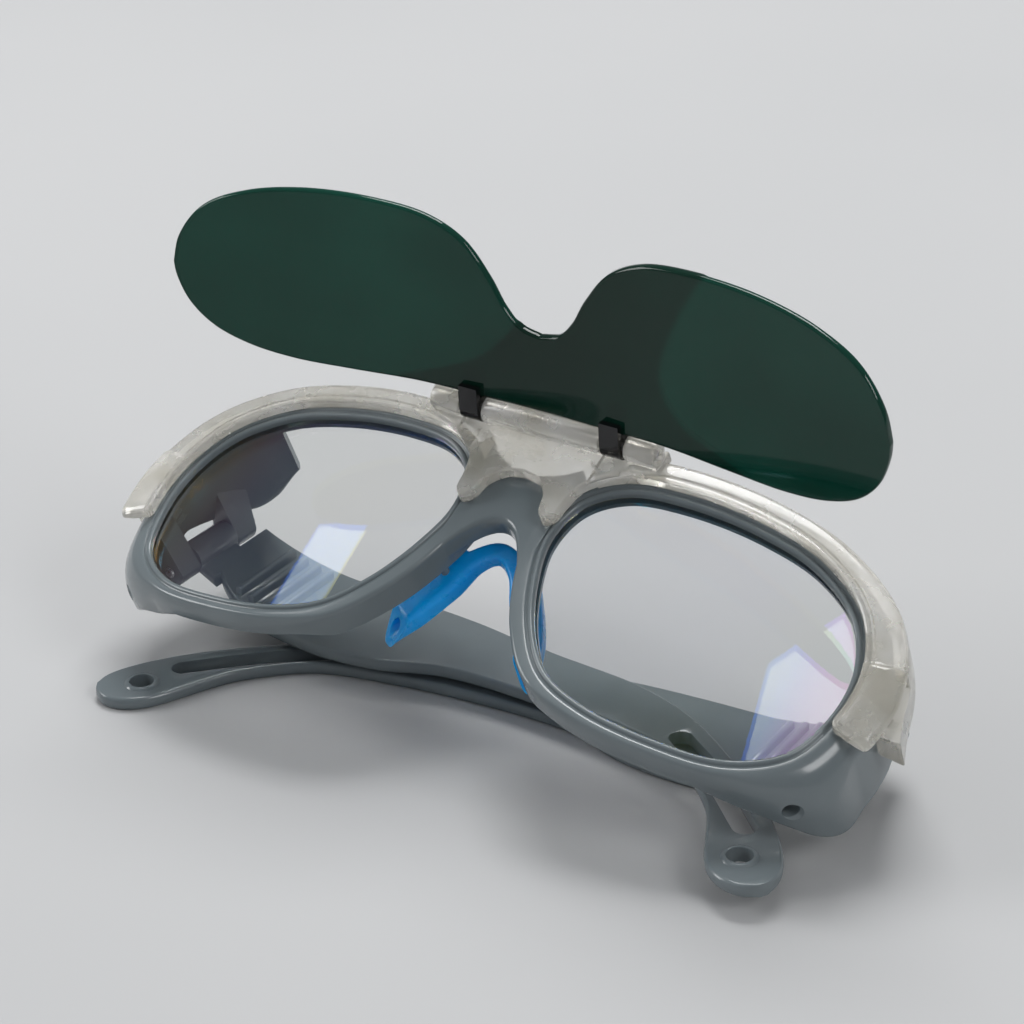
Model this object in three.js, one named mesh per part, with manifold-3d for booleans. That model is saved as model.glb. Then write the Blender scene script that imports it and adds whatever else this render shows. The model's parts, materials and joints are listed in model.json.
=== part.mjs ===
// Flip-up welding goggles, lying on their folded temples with the dark visor raised.
// Millimetres. Three frames are used, all with X to the viewer's right:
//   front   Y runs back from the lenses, Z runs up the face (frame, lenses, brow mount, visor)
//   temple  Y runs up along the temple hinges, Z runs away from the folded temples
//   row     the temple frame, rolled until the outer temple lies flat on the ground
import * as THREE from 'three';
import { mergeVertices } from 'three/addons/utils/BufferGeometryUtils.js';
import Module from 'manifold-3d';

const wasm = await Module();
wasm.setup();

const DEG = Math.PI / 180;

// Front: wrap of the face, rims and lenses
const PANTO = 25.4 * DEG;        // lean of the lenses against the temple hinges
const WRAP_RADIUS = 290;         // how far the front bends round the face
const FRONT_Y = -3.2;            // front face of the rims at the nose
const RIM_DEPTH = 4.8;
const RIM_WIDTH = 3.9;
const RIM_FLARE = 2.6;           // the rim widens by this much at its outer side
const RIM_NOSE = 0.8;            // and by this much at the nose
const RIM_ROUND = 0.9;           // rounded edge of the rims
const LIP_DEPTH = 1.4;           // front lip that the lens sits behind
const LENS_THICK = 2.2;
const LENS_GRIP = 1.0;           // how far the lens edge goes into the groove
const LENS_CLEAR = 0.15;
const SHIELD_WALL = 2.6;         // side shields
const RIM_STEPS = 96;            // stations round the lens
const SHIELD_FROM = 32;          // the stations where the shield starts and ends
const SHIELD_TO = 65;
const SHIELD_LOWER = [[0, -32], [2, -29], [5.6, -26.9], [9, -25.9], [13.5, -24.3], [17.5, -22.4],
  [20.5, -20.6], [22.9, -17.9], [24.2, -15]];  // its rear edge from the foot up, seen from the side
const SHIELD_HINGE = [[0.1, -3.5], [3.6, -3.5], [4.2, 3.2]];
const SHIELD_TALL = 17;          // it goes on this much above the middle of the hinge
const SHIELD_UPPER = [[26, 21], [12, 27], [0, 32]];
const SHIELD_REACH = 40;
const SHIELD_BULGE = 3;          // it swells this much at its lower outer corner
const BULGE_SHARE = 0.588;
const BULGE_SPAN = [0.062, 0.09];
const BULGE_DEPTH = 10;
const CORNER_HOLE_R = 1.6;        // small hole through the lower outer corner of each shield
const CORNER_HOLE_SHARE = 0.565;
const CORNER_HOLE_DEPTH = 14;

// Bridge over the nose
const BRIDGE_HALF = 9.5;
const BRIDGE_TOP = 19;
const BRIDGE_RISE = 4;           // rise of the top edge towards each rim
const BRIDGE_ARCH = 8;
const ARCH_DROP = 12.7;          // drop of the nose arch towards each rim

// Edge of the right lens as seen from the front: nose side, over the top, then the outer side
const LENS_OUTLINE = [
  [10.8, 8], [12.8, 16.3], [19, 21.4], [30, 23.3], [45, 22.8], [57, 20], [66.5, 13.5],
  [71, 4], [71, -6], [67.5, -15.5], [59, -21.3], [46, -23], [33, -22], [24, -18.5],
  [17.5, -11], [12.8, -1],
];

// Temples and their hinges (temple frame, lengths from the hinge axis)
const HINGE_X = 72;
const HINGE_DEPTH = 26.2;        // hinge axis behind the lenses, at mid-height
const HINGE_R = 3.2;
const KNUCKLE_LENGTH = 12;
const LUG_LENGTH = 5.7;
const LUG_ARM = 9;               // the lug's arm runs up the shield to here
const LUG_SHARE = 0.4875;        // share of the way round the lens where it joins the shield
const HINGE_CLEAR = 0.3;
const SCREW_R = 1.1;
const SCREW_HEAD_R = 2.1;
const SCREW_HEAD = 1.2;
const SCREW_CLEAR = 0.15;
const BORE_RUNOUT = 1;           // the screw's bore runs this far past the lugs
const DRIVER_SLOT = 0.6;
const FOLD_STEP = 1.5 * DEG;     // the inner temple folds this much more, the outer this much less
const TEMPLE_THICK = 2.6;
const TEMPLE_CHAMFER = 0.7;
const TEMPLE_BOW = 9;            // the front of the temple bows out by this much
const BOW_LENGTH = 28;
const TEMPLE_UPPER = [[4, 26], [20, 27], [40, 26.6], [56, 25.2], [74, 21.8], [94, 19.4], [107.5, 14.6],
  [121, 5.4], [135.4, -7.2], [142.4, -16.4], [144.5, -21.6], [144.4, -24.8]];
const TEMPLE_LOWER = [[4, 9], [9, 5], [15, 2.8], [24, 2.2], [34, 1.4], [45, 2.6], [58, 6.8], [77, 7],
  [98, 4.6], [112, 0.8], [122.6, -8.4], [125.8, -13.4], [128.4, -18.8], [130.6, -23.2], [133, -26.4],
  [136.4, -28.5], [140, -28.8], [142.8, -27.4]];
const CORD_HOLE = [136.5, -21.2];
const CORD_HOLE_R = 2.4;
const SLOT_PATH = [[110, 6.4], [122, -2.4], [133, -12.8]];
const SLOT_R = 2.3;
const RIB_COUNT = 4;
const RIB_FIRST = 11;
const RIB_STEP = 3;
const RIB_WIDTH = 1.3;
const RIB_HEIGHT = 1.6;
const RIB_SPAN = [6, 22];

// Brow mount
const BROW_THICK = 2.45;
const BROW_CLEAR = 0.15;
const BROW_ROOF = 2.8;           // strip over the outer edge of the rims
const ROOF_DEPTH = 9;
const BROW_INSET = 1.9;          // how much of the rim shows below the brow strap
const BROW_FROM = 0.07;          // shares of the way round the lens where the strap starts and ends
const BROW_TO = 0.513;
const FORK_GAP = 3.6;            // gap between the front and rear finger at each end
const FORK_LENGTH = 15;
const REAR_SHORT = 4;            // the rear finger ends this much above the front one
const REAR_SPREAD = 4.2;         // and stands off the shield by this much
const SPREAD_FROM = 0.45;
const SPREAD_TO = 0.5;
const PLATE_OUTER = [[0, 29.5], [12, 30.2], [24, 30.4]];
const PLATE_INNER = [[24, 25.4], [17.5, 23], [12.2, 18.6], [10.9, 14], [10.4, 10.6], [8.8, 9.3], [7.1, 10.6],
  [6, 14.4], [3.4, 17.2], [0, 18]];

// Visor and its hinge, drawn closed: distances down from the hinge axis
const VISOR_HINGE_Y = -8;
const VISOR_HINGE_Z = 27.5;
const VISOR_RAISE = 110 * DEG;
const VISOR_RADIUS = 265;
const VISOR_THICK = 2;
const VISOR_NEAR = [[0, 3], [12, 3], [26, 3.4], [40, 3.2], [52, 3.6], [61, 5.4], [67.6, 8.6],
  [71.8, 13.2], [73.8, 18.6], [74.1, 22]];
const VISOR_FAR = [[0, 18.7], [4, 19.8], [7, 23], [10, 28.4], [15, 34.8], [22, 38.4],
  [33, 39.9], [47, 39.8], [58.8, 37.8], [67.1, 34.2], [72.3, 28], [74.1, 22]];
const PIVOT_R = 2.6;
const PIN_R = 1.0;
const PIN_CLEAR = 0.15;
const PIN_END = 23.5;
const BARREL_HALF = 12.6;
const CLIP_END_GAP = 0.4;
const CLIP_START = BARREL_HALF + CLIP_END_GAP;
const CLIP_WIDTH = 4;
const BARREL_END = 24;
const BARREL_WEB = 3.6;
const CLIP_REACH = 7.4;           // jaw on the outer face of the visor
const CLIP_SHORT = 5.2;           // jaw on its inner face
const CLIP_JAW = 1.2;
const CLIP_CLEAR = 0.12;
const POCKET_DEPTH = 0.9;

// Nose pad, pushed onto two pegs behind the bridge
const PAD_PATH = [[0, 4.2, 5.4], [4.9, 5.4, 3.1], [9.2, 7.8, -2.4], [13.4, 9.8, -9.1], [16.8, 11.6, -15]];
const PAD_WIDTH = 6;
const PAD_THICK = 4.6;
const PAD_NIB = 6.5;              // each sleeve end is cut slanting over this length, down to a thin tip
const PAD_TIP = 0.9;
const PAD_BORE_R = 1.2;
const PAD_BORE_DEPTH = 6;
const PEG_X = 7.9;
const PEG_Z = -0.1;
const PEG_R = 0.8;
const PEG_CLEAR = 0.15;
const PEG_TIP = 6.2;

// Geometry helpers

function welded(geometry) {
  const bare = geometry.clone();
  bare.deleteAttribute('normal');
  bare.deleteAttribute('uv');
  return mergeVertices(bare, 1e-4);
}

function toSolid(geometry) {
  const bare = welded(geometry);
  const index = bare.index.array;
  const kept = [];
  for (let i = 0; i < index.length; i += 3) {
    const [a, b, c] = [index[i], index[i + 1], index[i + 2]];
    if (a !== b && b !== c && c !== a) kept.push(a, b, c);
  }
  return new wasm.Manifold(new wasm.Mesh({
    numProp: 3,
    vertProperties: new Float32Array(bare.attributes.position.array),
    triVerts: new Uint32Array(kept),
  }));
}

function toGeometry(solid) {
  const raw = solid.getMesh();
  const geometry = new THREE.BufferGeometry();
  geometry.setAttribute('position', new THREE.BufferAttribute(new Float32Array(raw.vertProperties), 3));
  geometry.setIndex(new THREE.BufferAttribute(new Uint32Array(raw.triVerts), 1));
  return geometry;
}

function mirrored(geometry) {
  const copy = welded(geometry);
  copy.scale(-1, 1, 1);
  const index = copy.index.array;
  for (let i = 0; i < index.length; i += 3) {
    const second = index[i + 1];
    index[i + 1] = index[i + 2];
    index[i + 2] = second;
  }
  return copy;
}

function bothSides(solid) {
  return solid.add(toSolid(mirrored(toGeometry(solid))));
}

const wrapOf = (x) => FRONT_Y + x * x / (2 * WRAP_RADIUS);

// A smooth curve through hand-picked points, as 2-D points
function curve(points, count, closed = false) {
  const path = new THREE.CatmullRomCurve3(points.map(([a, b]) => new THREE.Vector3(a, b, 0)), closed);
  const spaced = path.getSpacedPoints(count);
  if (closed) spaced.pop();
  return spaced.map((point) => new THREE.Vector2(point.x, point.y));
}

// A prism whose outline lies in X and Z, from front to back along Y
function prism(outline, front, back) {
  const geometry = new THREE.ExtrudeGeometry(new THREE.Shape(outline), {
    depth: back - front,
    bevelEnabled: false,
  });
  geometry.rotateX(90 * DEG);
  geometry.translate(0, back, 0);
  return toSolid(geometry);
}

function box(low, high) {
  const geometry = new THREE.BoxGeometry(high[0] - low[0], high[1] - low[1], high[2] - low[2]);
  geometry.translate((low[0] + high[0]) / 2, (low[1] + high[1]) / 2, (low[2] + high[2]) / 2);
  return toSolid(geometry);
}

// A round bar along X or Y between two stations
function bar(axis, radius, from, to, sides = 20) {
  const geometry = new THREE.CylinderGeometry(radius, radius, to - from, sides);
  geometry.translate(0, (from + to) / 2, 0);
  if (axis === 'x') geometry.rotateZ(-90 * DEG);
  return geometry;
}

// A closed skin over a list of rings with equally many points, capped or joined end to end
function loft(rings, joined = false) {
  const size = rings[0].length;
  const points = rings.flat();
  const faces = [];
  const spans = joined ? rings.length : rings.length - 1;
  for (let j = 0; j < spans; j += 1) {
    for (let i = 0; i < size; i += 1) {
      const a = j * size + i;
      const b = j * size + (i + 1) % size;
      const c = (b + size) % points.length;
      const d = (a + size) % points.length;
      faces.push(a, b, c, a, c, d);
    }
  }
  if (!joined) faces.push(...caps(rings, points.length - size));
  const geometry = new THREE.BufferGeometry();
  geometry.setAttribute('position', new THREE.Float32BufferAttribute(points.flatMap((p) => p.toArray()), 3));
  geometry.setIndex(faces);
  return outward(geometry);
}

// Flat ends of a loft, each cut into triangles in its own plane
function caps(rings, lastStart) {
  const faces = [];
  for (const [ring, start, flip] of [[rings[0], 0, true], [rings[rings.length - 1], lastStart, false]]) {
    const normal = new THREE.Vector3();
    ring.forEach((point, i) => normal.add(point.clone().cross(ring[(i + 1) % ring.length])));
    const level = new THREE.Quaternion().setFromUnitVectors(normal.normalize(), new THREE.Vector3(0, 0, 1));
    const turned = ring.map((point) => point.clone().applyQuaternion(level));
    const flat = turned.map((point) => new THREE.Vector2(point.x, point.y));
    for (const [a, b, c] of THREE.ShapeUtils.triangulateShape(flat, [])) {
      faces.push(start + a, start + (flip ? c : b), start + (flip ? b : c));
    }
  }
  return faces;
}

// Turns a closed skin the right way out
function outward(geometry) {
  const solid = toSolid(geometry);
  if (solid.volume() > 0) return solid;
  const index = geometry.index.array;
  for (let i = 0; i < index.length; i += 3) {
    const second = index[i + 1];
    index[i + 1] = index[i + 2];
    index[i + 2] = second;
  }
  return toSolid(geometry);
}

const frontTurn = -(90 * DEG - PANTO);
const frontToTemple = new THREE.Matrix4().makeRotationX(frontTurn);
frontToTemple.setPosition(0, 0, HINGE_DEPTH * Math.cos(PANTO));
const templeToFront = frontToTemple.clone().invert();
const hingeMiddle = HINGE_DEPTH * Math.sin(PANTO);

function inFront(geometry) {
  return toSolid(geometry.applyMatrix4(templeToFront));
}

// The way round the right lens: a place on its visible edge and the direction away from the lens
const lensPath = new THREE.CatmullRomCurve3(LENS_OUTLINE.map(([x, z]) => new THREE.Vector3(x, 0, z)), true);

function station(share) {
  const along = lensPath.getTangentAt(share);
  return { edge: lensPath.getPointAt(share), away: new THREE.Vector3(-along.z, 0, along.x) };
}

function rimWidth(away) {
  const grown = away.x > 0 ? RIM_FLARE : RIM_NOSE;
  return RIM_WIDTH + grown * away.x ** 2;
}

// A ring of a swept profile, which lists corners for a rim width and a share of the way round:
// each is [distance from the lens edge, depth behind the front]
function section(share, profile) {
  const { edge, away } = station(share);
  return profile(rimWidth(away), share).map(([distance, depth]) => {
    const place = edge.clone().addScaledVector(away, distance);
    place.y = wrapOf(place.x) + depth;
    return place;
  });
}

function swept(profile, from, to, count) {
  const shares = Array.from({ length: count + 1 }, (_, i) => from + (to - from) * i / count);
  return shares.map((share) => section(share, profile));
}

// Front frame

function rim() {
  const grooveBack = LIP_DEPTH + LENS_THICK + 2 * LENS_CLEAR;
  const grooveFloor = LENS_GRIP + LENS_CLEAR;
  const profile = (width) => [
    [0, LIP_DEPTH], [0, RIM_ROUND / 2], [RIM_ROUND / 2, 0], [width - RIM_ROUND, 0], [width, RIM_ROUND],
    [width, RIM_DEPTH - RIM_ROUND], [width - RIM_ROUND, RIM_DEPTH], [0, RIM_DEPTH], [0, grooveBack],
    [grooveFloor, grooveBack], [grooveFloor, LIP_DEPTH],
  ];
  return loft(swept(profile, 0, 1, RIM_STEPS).slice(0, RIM_STEPS), true);
}

function bridge() {
  const steps = 12;
  const rings = [];
  for (let i = 0; i <= steps; i += 1) {
    const x = BRIDGE_HALF * (2 * i / steps - 1);
    const share = (x / BRIDGE_HALF) ** 2;
    const [top, bottom] = [BRIDGE_TOP + BRIDGE_RISE * share, BRIDGE_ARCH - ARCH_DROP * share];
    const [front, back] = [wrapOf(x), wrapOf(x) + RIM_DEPTH];
    const corner = (y, z) => new THREE.Vector3(x, y, z);
    rings.push([
      corner(front + RIM_ROUND, bottom), corner(front, bottom + RIM_ROUND), corner(front, top - RIM_ROUND),
      corner(front + RIM_ROUND, top), corner(back - RIM_ROUND, top), corner(back, top - RIM_ROUND),
      corner(back, bottom + RIM_ROUND), corner(back - RIM_ROUND, bottom),
    ]);
  }
  return loft(rings);
}

// How far the shield swells beyond the rim, at a share of the way round and a depth
function bulge(share, depth) {
  const span = BULGE_SPAN[share < BULGE_SHARE ? 0 : 1];
  const near = Math.max(0, 1 - ((share - BULGE_SHARE) / span) ** 2);
  const deep = THREE.MathUtils.clamp((depth - RIM_ROUND) / (BULGE_DEPTH - RIM_ROUND), 0, 1);
  return SHIELD_BULGE * near * near * Math.sin(90 * DEG * deep);
}

// Side shield: the rim's outer edge carried back, trimmed to a side view
function sideShield() {
  const rows = [0, 0.25, 0.5, 0.75, 1].map((deep) => RIM_ROUND + deep * (BULGE_DEPTH - RIM_ROUND));
  const wall = (width, share) => {
    const out = [...rows, SHIELD_REACH].map((depth) => [width + bulge(share, depth), depth]);
    return [...out, ...out.toReversed().map(([distance, depth]) => [distance - SHIELD_WALL, depth])];
  };
  const shell = loft(swept(wall, SHIELD_FROM / RIM_STEPS, SHIELD_TO / RIM_STEPS, SHIELD_TO - SHIELD_FROM));
  const rear = (up, away) => new THREE.Vector3(0, up, away).applyMatrix4(templeToFront);
  const flat = ([y, z]) => new THREE.Vector3(0, y, z);
  const last = SHIELD_HINGE[SHIELD_HINGE.length - 1];
  const side = [
    flat(SHIELD_LOWER[0]), ...curve(SHIELD_LOWER.slice(1), 14).map((point) => flat([point.x, point.y])),
    ...SHIELD_HINGE.map((place) => rear(...place)),
    rear(hingeMiddle + SHIELD_TALL, last[1]), ...SHIELD_UPPER.map(flat),
  ];
  const outline = new THREE.Shape(side.map((point) => new THREE.Vector2(point.y, point.z)));
  const trim = new THREE.ExtrudeGeometry(outline, { depth: 2 * HINGE_X, bevelEnabled: false });
  trim.applyMatrix4(new THREE.Matrix4().makeBasis(
    new THREE.Vector3(0, 1, 0), new THREE.Vector3(0, 0, 1), new THREE.Vector3(1, 0, 0)));
  return shell.intersect(toSolid(trim));
}

// Outline of a hinge lug: a barrel with an arm to the shield; the lower one is joined along its whole side
function lugOutline(joined) {
  const wall = lensPath.getPointAt(LUG_SHARE).x + RIM_WIDTH + RIM_FLARE;
  const outline = new THREE.Shape();
  outline.absarc(HINGE_X, 0, HINGE_R, 180 * DEG, joined ? 270 * DEG : 360 * DEG, false);
  if (joined) outline.lineTo(wall - SHIELD_WALL / 2, -HINGE_R);
  outline.lineTo(wall - SHIELD_WALL / 2, LUG_ARM);
  outline.lineTo(wall - SHIELD_WALL, LUG_ARM);
  return outline;
}

function hingeLugs() {
  const half = KNUCKLE_LENGTH / 2 + HINGE_CLEAR;
  const lug = (start, joined) => {
    const geometry = new THREE.ExtrudeGeometry(lugOutline(joined), {
      depth: LUG_LENGTH,
      bevelEnabled: false,
      curveSegments: 12,
    });
    geometry.rotateX(90 * DEG);
    geometry.translate(0, start + LUG_LENGTH, 0);
    return inFront(geometry);
  };
  const reach = half + LUG_LENGTH + BORE_RUNOUT;
  const bore = bar('y', SCREW_R + SCREW_CLEAR, hingeMiddle - reach, hingeMiddle + reach, 16);
  bore.translate(HINGE_X, 0, 0);
  const upper = lug(hingeMiddle + half, false);
  const lower = lug(hingeMiddle - half - LUG_LENGTH, true);
  return { lugs: upper.add(lower), bore: inFront(bore) };
}

function frontFrame() {
  const { lugs, bore } = hingeLugs();
  const { edge, away } = station(CORNER_HOLE_SHARE);
  const wall = rimWidth(away) + bulge(CORNER_HOLE_SHARE, CORNER_HOLE_DEPTH);
  const hole = bar('y', CORNER_HOLE_R, wall - 2 * SHIELD_WALL, wall + SHIELD_WALL, 16);
  hole.applyQuaternion(new THREE.Quaternion().setFromUnitVectors(new THREE.Vector3(0, 1, 0), away));
  hole.translate(edge.x, CORNER_HOLE_DEPTH, edge.z);
  const side = rim().add(sideShield()).add(lugs).subtract(bore).subtract(toSolid(hole));
  return bothSides(side.add(peg(PEG_R, PEG_TIP))).add(bridge());
}

// A round peg on the back of the bridge, or the hole for it
function peg(radius, tip) {
  const geometry = bar('y', radius, FRONT_Y + RIM_DEPTH / 2, tip, 16);
  geometry.translate(PEG_X, 0, PEG_Z);
  return toSolid(geometry);
}

// Lenses

function lens() {
  const shares = Array.from({ length: RIM_STEPS }, (_, i) => i / RIM_STEPS);
  const edge = shares.map((share) => section(share, () => [[LENS_GRIP, 0]])[0]);
  const centre = edge.reduce((sum, point) => sum.add(point), new THREE.Vector3()).divideScalar(RIM_STEPS);
  const ring = (reach, depth) => edge.map((point) => {
    const place = centre.clone().lerp(point, reach);
    place.y = wrapOf(place.x) + depth;
    return place;
  });
  const reaches = [0.06, 0.4, 0.72, 1];
  const front = LIP_DEPTH + LENS_CLEAR;
  return loft([
    ...reaches.map((reach) => ring(reach, front)),
    ...reaches.toReversed().map((reach) => ring(reach, front + LENS_THICK)),
  ]);
}

// Temples, drawn folded: lengths run along +X from the hinge axis

function bowOf(length) {
  const left = Math.max(0, 1 - length / BOW_LENGTH);
  return TEMPLE_BOW * (left * left - 1);
}

function strip(upper, lower) {
  const half = TEMPLE_THICK / 2;
  const rings = upper.map((top, i) => {
    const bottom = lower[i];
    const inward = bottom.clone().sub(top).normalize().multiplyScalar(TEMPLE_CHAMFER);
    const topIn = top.clone().add(inward);
    const bottomIn = bottom.clone().sub(inward);
    const corner = (point, height) => new THREE.Vector3(point.x, point.y, bowOf(point.x) + height);
    return [
      corner(topIn, half), corner(top, half - TEMPLE_CHAMFER), corner(top, TEMPLE_CHAMFER - half),
      corner(topIn, -half), corner(bottomIn, -half), corner(bottom, TEMPLE_CHAMFER - half),
      corner(bottom, half - TEMPLE_CHAMFER), corner(bottomIn, half),
    ];
  });
  return loft(rings);
}

function temple() {
  const sections = 40;
  let body = strip(curve(TEMPLE_UPPER, sections), curve(TEMPLE_LOWER, sections));
  const half = KNUCKLE_LENGTH / 2;
  const webSteps = [0, 2, 4, 6];
  body = body.add(strip(
    webSteps.map((length) => new THREE.Vector2(length, hingeMiddle + half)),
    webSteps.map((length) => new THREE.Vector2(length, hingeMiddle - half))));
  body = body.add(toSolid(bar('y', HINGE_R, hingeMiddle - half, hingeMiddle + half)));
  for (let i = 0; i < RIB_COUNT; i += 1) {
    const start = RIB_FIRST + i * RIB_STEP;
    const base = bowOf(start + RIB_WIDTH / 2);
    const top = base + TEMPLE_THICK / 2 + RIB_HEIGHT;
    body = body.add(box([start, RIB_SPAN[0], base], [start + RIB_WIDTH, RIB_SPAN[1], top]));
  }
  const hole = (radius, x, y) => {
    const geometry = new THREE.CylinderGeometry(radius, radius, 40, 24);
    geometry.rotateX(90 * DEG);
    geometry.translate(x, y, 0);
    return toSolid(geometry);
  };
  body = body.subtract(hole(CORD_HOLE_R, ...CORD_HOLE));
  const middle = curve(SLOT_PATH, 10);
  const slotLeft = middle.map((point, i) => sidestep(middle, i, SLOT_R));
  const slotRight = middle.map((point, i) => sidestep(middle, i, -SLOT_R)).reverse();
  const slot = new THREE.ExtrudeGeometry(new THREE.Shape([...slotLeft, ...slotRight]), {
    depth: 40,
    bevelEnabled: false,
  });
  slot.translate(0, 0, -20);
  body = body.subtract(toSolid(slot));
  for (const end of [middle[0], middle[middle.length - 1]]) {
    body = body.subtract(hole(SLOT_R, end.x, end.y));
  }
  const reach = KNUCKLE_LENGTH / 2 + BORE_RUNOUT;
  const bore = bar('y', SCREW_R + SCREW_CLEAR, hingeMiddle - reach, hingeMiddle + reach, 16);
  return body.subtract(toSolid(bore));
}

function sidestep(path, i, distance) {
  const along = path[Math.min(i + 1, path.length - 1)].clone().sub(path[Math.max(i - 1, 0)]).normalize();
  return new THREE.Vector2(path[i].x - along.y * distance, path[i].y + along.x * distance);
}

function templeScrew() {
  const reach = KNUCKLE_LENGTH / 2 + HINGE_CLEAR + LUG_LENGTH;
  const shank = toSolid(bar('y', SCREW_R, -reach - 0.4, reach + 0.4, 16));
  const top = reach + HINGE_CLEAR + SCREW_HEAD;
  const head = toSolid(bar('y', SCREW_HEAD_R, top - SCREW_HEAD, top, 20));
  const slot = box([-SCREW_HEAD_R - 1, top - DRIVER_SLOT, -DRIVER_SLOT / 2],
    [SCREW_HEAD_R + 1, top + 1, DRIVER_SLOT / 2]);
  return shank.add(head).subtract(slot);
}

// Brow mount

function browStrap() {
  const front = -BROW_CLEAR - BROW_THICK;
  const profile = (width) => {
    const roofInside = width + BROW_CLEAR;
    const outside = roofInside + BROW_ROOF;
    return [
      [BROW_INSET, -BROW_CLEAR], [BROW_INSET, front + RIM_ROUND / 2], [BROW_INSET + RIM_ROUND / 2, front],
      [outside - RIM_ROUND, front], [outside, front + RIM_ROUND], [outside, ROOF_DEPTH],
      [roofInside, ROOF_DEPTH], [roofInside, -BROW_CLEAR],
    ];
  };
  const strap = loft(swept(profile, BROW_FROM, BROW_TO, 30));
  const end = station(BROW_TO).edge;
  const gapFront = wrapOf(end.x + RIM_WIDTH + RIM_FLARE);
  const [inner, outer] = [end.x - BROW_ROOF, end.x + 2 * ROOF_DEPTH];
  const [low, back] = [end.z - FORK_LENGTH, gapFront + 2 * ROOF_DEPTH];
  const fork = box([inner, gapFront - BROW_CLEAR, low], [outer, gapFront + FORK_GAP, end.z + FORK_LENGTH]);
  const rearEnd = box([inner, gapFront + FORK_GAP / 2, low], [outer, back, end.z + REAR_SHORT]);
  return strap.add(rearTab()).subtract(fork).subtract(rearEnd);
}

// The rear finger's end bends away from the shield, so a thumb can lift it
function rearTab() {
  const steps = 8;
  const rings = Array.from({ length: steps + 1 }, (_, i) => {
    const spread = REAR_SPREAD * (i / steps) ** 2;
    const inside = (width) => width + BROW_CLEAR + spread;
    return section(SPREAD_FROM + (SPREAD_TO - SPREAD_FROM) * i / steps, (width) => [
      [inside(width), FORK_GAP / 2], [inside(width) + BROW_ROOF, FORK_GAP / 2],
      [inside(width) + BROW_ROOF, ROOF_DEPTH], [inside(width), ROOF_DEPTH],
    ]);
  });
  return loft(rings);
}

function browMount() {
  const half = [...curve(PLATE_OUTER, 6), ...curve(PLATE_INNER, 30)];
  const left = half.slice(1, -1).reverse().map((point) => new THREE.Vector2(-point.x, point.y));
  const plateFront = FRONT_Y - BROW_CLEAR - BROW_THICK;
  const strap = bothSides(browStrap()).add(prism([...half, ...left], plateFront, plateFront + BROW_THICK));
  const clipEnd = CLIP_START + CLIP_WIDTH + CLIP_END_GAP;
  const spans = [[-BARREL_HALF, BARREL_HALF], [clipEnd, BARREL_END], [-BARREL_END, -clipEnd]];
  let body = strap;
  for (const [from, to] of spans) {
    const barrel = bar('x', PIVOT_R, from, to);
    barrel.translate(0, VISOR_HINGE_Y, VISOR_HINGE_Z);
    const web = box([from, VISOR_HINGE_Y, VISOR_HINGE_Z - BARREL_WEB / 2],
      [to, FRONT_Y - BROW_CLEAR - 0.6, VISOR_HINGE_Z + BARREL_WEB / 2]);
    body = body.add(toSolid(barrel)).add(web);
  }
  const pocketBack = plateFront + POCKET_DEPTH;
  const pocket = box([BARREL_HALF, VISOR_HINGE_Y - 6, VISOR_HINGE_Z - CLIP_REACH - 1],
    [clipEnd, pocketBack, 40]);
  const bore = bar('x', PIN_R + PIN_CLEAR, -40, 40, 16);
  bore.translate(0, VISOR_HINGE_Y, VISOR_HINGE_Z);
  return body.subtract(bothSides(pocket)).subtract(toSolid(bore));
}

// Visor, drawn closed in its own frame: hinge axis at the origin, sheet hanging down

const bowVisor = (x) => x * x / (2 * VISOR_RADIUS);

function visorLens() {
  const steps = 34;
  const rows = 5;
  const near = curve(VISOR_NEAR, steps);
  const far = curve(VISOR_FAR, steps);
  const columns = [];
  for (let i = -steps; i <= steps; i += 1) {
    const side = Math.sign(i) || 1;
    const [top, bottom] = [near[Math.abs(i)], far[Math.abs(i)]];
    const ring = [];
    for (const face of [-1, 1]) {
      for (let j = 0; j <= rows; j += 1) {
        const share = face < 0 ? j / rows : 1 - j / rows;
        const place = top.clone().lerp(bottom, share);
        ring.push(new THREE.Vector3(side * place.x, bowVisor(place.x) + face * VISOR_THICK / 2, -place.y));
      }
    }
    columns.push(ring);
  }
  return loft(columns);
}

function visorClip() {
  const middle = CLIP_START + CLIP_WIDTH / 2;
  const sheet = bowVisor(middle);
  const gap = VISOR_THICK / 2 + CLIP_CLEAR;
  const [from, to] = [-CLIP_WIDTH / 2, CLIP_WIDTH / 2];
  const near = VISOR_NEAR[1][1] - CLIP_CLEAR;
  const knuckle = toSolid(bar('x', PIVOT_R, from, to));
  const jaws = box([from, sheet - gap - CLIP_JAW, -CLIP_REACH], [to, sheet + gap + CLIP_JAW, 0]);
  const trim = box([from - 1, sheet, -CLIP_REACH - 1], [to + 1, sheet + gap + CLIP_JAW + 1, -CLIP_SHORT]);
  const mouth = box([from - 1, sheet - gap, -CLIP_REACH - 1], [to + 1, sheet + gap, -near]);
  const bore = bar('x', PIN_R + PIN_CLEAR, -10, 10, 16);
  return knuckle.add(jaws.subtract(mouth).subtract(trim)).subtract(toSolid(bore));
}

// Nose pad: one soft bow under the bridge, with an open sleeve at each lower end

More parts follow.
